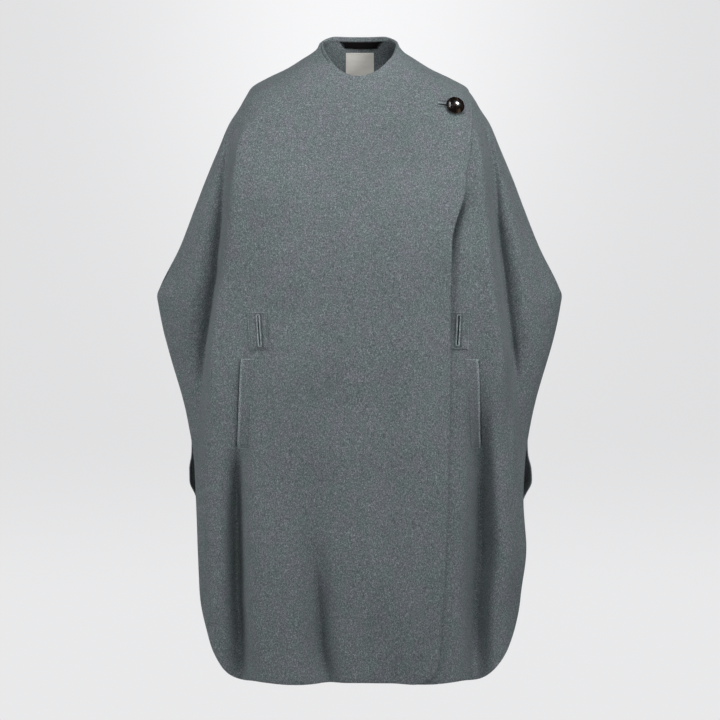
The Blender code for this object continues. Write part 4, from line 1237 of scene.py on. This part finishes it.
# ------------------------------------------------- cut the slits through
for tag, host in (("right", front_right), ("left", front_left), ("facing_right", FACINGS["right"]),
                  ("facing_left", FACINGS["left"])):
    for c in CUTS[tag]:
        m = host.modifiers.new("slit", "BOOLEAN")
        m.operation, m.object, m.solver = "DIFFERENCE", c, "EXACT"
        dg = bpy.context.evaluated_depsgraph_get()
        me = bpy.data.meshes.new_from_object(host.evaluated_get(dg))
        host.modifiers.clear()
        old = host.data
        host.data = me
        bpy.data.meshes.remove(old)
        bpy.data.objects.remove(c, do_unlink=True)

for ob, node in ((front_right, "front_right"), (front_left, "front_left"),
                 (back_right, "back_right"), (back_left, "back_left")):
    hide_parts(node)

# ------------------------------------------------------------ stage, light
fm = bpy.data.materials.new("pale_floor")
fm.use_nodes = True
fnt = fm.node_tree
fb = fnt.nodes["Principled BSDF"]
fb.inputs["Roughness"].default_value = 0.85
ftc = fnt.nodes.new("ShaderNodeTexCoord")
fno = fnt.nodes.new("ShaderNodeTexNoise")
fno.inputs["Scale"].default_value = 3.0
fnt.links.new(ftc.outputs["Object"], fno.inputs["Vector"])
frp = fnt.nodes.new("ShaderNodeValToRGB")
frp.color_ramp.elements[0].color = (0.74, 0.74, 0.75, 1)
frp.color_ramp.elements[1].color = (0.80, 0.80, 0.81, 1)
fnt.links.new(fno.outputs["Fac"], frp.inputs["Fac"])
fnt.links.new(frp.outputs["Color"], fb.inputs["Base Color"])
bm = bmesh.new()
FLOOR_Z = -1.45
rings = []
for r in (0.0, 0.5, 1.0, 1.5, 2.05):
    rings.append([bm.verts.new((r * math.cos(2 * math.pi * k / 64), r * math.sin(2 * math.pi * k / 64), FLOOR_Z))
                  for k in range(64)] if r else [bm.verts.new((0, 0, FLOOR_Z))])
for a, b in zip(rings, rings[1:]):
    for k in range(64):
        m = (k + 1) % 64
        bm.faces.new((a[0], b[k], b[m]) if len(a) == 1 else (a[k], b[k], b[m], a[m]))
me = bpy.data.meshes.new("floor")
bm.to_mesh(me)
bm.free()
me.materials.append(fm)
floor = bpy.data.objects.new("floor", me)
bpy.context.scene.collection.objects.link(floor)

world = bpy.data.worlds.new("studio")
bpy.context.scene.world = world
world.use_nodes = True
wnt = world.node_tree
wnt.nodes.clear()
wout = wnt.nodes.new("ShaderNodeOutputWorld")
seen = wnt.nodes.new("ShaderNodeBackground")
fill = wnt.nodes.new("ShaderNodeBackground")
fill.inputs["Color"].default_value = (0.95, 0.98, 1.0, 1)
fill.inputs["Strength"].default_value = AMBIENT
seen.inputs["Strength"].default_value = 1.0


def world_math(op, *args):
    m = wnt.nodes.new("ShaderNodeMath")
    m.operation = op
    for k, v in enumerate(args):
        if isinstance(v, (int, float)):
            m.inputs[k].default_value = v
        else:
            wnt.links.new(v, m.inputs[k])
    return m.outputs["Value"]


# Backdrop: a soft glow above the neck, a paler floor of light at the bottom.
wtc = wnt.nodes.new("ShaderNodeTexCoord")
wxyz = wnt.nodes.new("ShaderNodeSeparateXYZ")
wnt.links.new(wtc.outputs["Generated"], wxyz.inputs["Vector"])
gx = world_math("POWER", world_math("ABSOLUTE", world_math("DIVIDE", wxyz.outputs["X"], 0.074)), 2.0)
gz = world_math("POWER", world_math("ABSOLUTE", world_math("DIVIDE", world_math("SUBTRACT", wxyz.outputs["Z"], 0.12), 0.105)), 2.0)
glow = world_math("MULTIPLY", world_math("EXPONENT", world_math("MULTIPLY", world_math("ADD", gx, gz), -1.0)), 0.19)
low_part = wnt.nodes.new("ShaderNodeMapRange")
low_part.interpolation_type = "SMOOTHSTEP"
low_part.inputs["From Min"].default_value = -0.02
low_part.inputs["From Max"].default_value = -0.085
low_part.inputs["To Min"].default_value = 0.745
low_part.inputs["To Max"].default_value = 0.815
wnt.links.new(wxyz.outputs["Z"], low_part.inputs["Value"])
level_out = world_math("ADD", glow, low_part.outputs["Result"])
wrgb = wnt.nodes.new("ShaderNodeCombineColor")
wnt.links.new(world_math("MULTIPLY", level_out, 0.998), wrgb.inputs[0])
wnt.links.new(level_out, wrgb.inputs[1])
wnt.links.new(world_math("MULTIPLY", level_out, 1.012), wrgb.inputs[2])
wnt.links.new(wrgb.outputs["Color"], seen.inputs["Color"])
lp = wnt.nodes.new("ShaderNodeLightPath")
wmix = wnt.nodes.new("ShaderNodeMixShader")
wnt.links.new(lp.outputs["Is Camera Ray"], wmix.inputs["Fac"])
wnt.links.new(fill.outputs["Background"], wmix.inputs[1])
wnt.links.new(seen.outputs["Background"], wmix.inputs[2])
wnt.links.new(wmix.outputs["Shader"], wout.inputs["Surface"])


def area_light(name, at, to, size, power, colour=(1, 1, 1), gloss=False, shape="RECTANGLE"):
    d = bpy.data.lights.new(name, "AREA")
    d.shape = shape
    d.size, d.size_y = size
    d.energy, d.color = power, colour
    o = bpy.data.objects.new(name, d)
    o.location = at
    o.rotation_euler = (Vector(to) - Vector(at)).to_track_quat("-Z", "Y").to_euler()
    o.visible_camera = False
    o.visible_glossy = gloss
    o.visible_diffuse = not gloss
    bpy.context.scene.collection.objects.link(o)
    return o


for light in LIGHTS:
    area_light(*light)

# A snoot from the right that reaches into the neck opening.
snoot = bpy.data.lights.new("snoot", "SPOT")
snoot.energy, snoot.spot_size, snoot.spot_blend, snoot.shadow_soft_size = 85, math.radians(3.0), 0.6, 0.05
so = bpy.data.objects.new("snoot", snoot)
so.location = (1.15, -1.65, 0.42)
so.rotation_euler = (Vector((-0.036, 0.03, 0.035)) - so.location).to_track_quat("-Z", "Y").to_euler()
so.visible_camera = so.visible_glossy = False
bpy.context.scene.collection.objects.link(so)

# Two small lights that only the polished button mirrors: a round spark and a strip.
dome = Face(button)


def mirrored_from(x, z, far):
    """Place that the camera sees mirrored at a spot of the dome, and the spot."""
    p, n = dome.hit(x, z)
    view = (Vector((0.000875, -5.0, -0.49875)) - p * MM).normalized()
    return p * MM + (2 * n.dot(view) * n - view) * far, p * MM


middle = p_over + axis * (BUTTON_LIFT + 4.0)
at, to = mirrored_from(middle.x + 2.9, middle.z + 2.7, 2.0)
area_light("spark", at, to, (0.34, 0.34), 18, (1, 1, 1), True, "ELLIPSE")
at, to = mirrored_from(middle.x - 9.8, middle.z + 0.3, 2.0)
area_light("strip", at, to, (0.14, 0.90), 3.5, (1, 1, 1), True)

cam_data = bpy.data.cameras.new("camera")
cam_data.sensor_width = 36.0
cam_data.lens = 142.857
cam_data.clip_end = 100
camera = bpy.data.objects.new("camera", cam_data)
camera.location = (0.000875, -5.0, -0.49875)
camera.rotation_euler = (math.radians(90), 0, 0)
bpy.context.scene.collection.objects.link(camera)
bpy.context.scene.camera = camera
bpy.context.scene.view_settings.view_transform = "Standard"
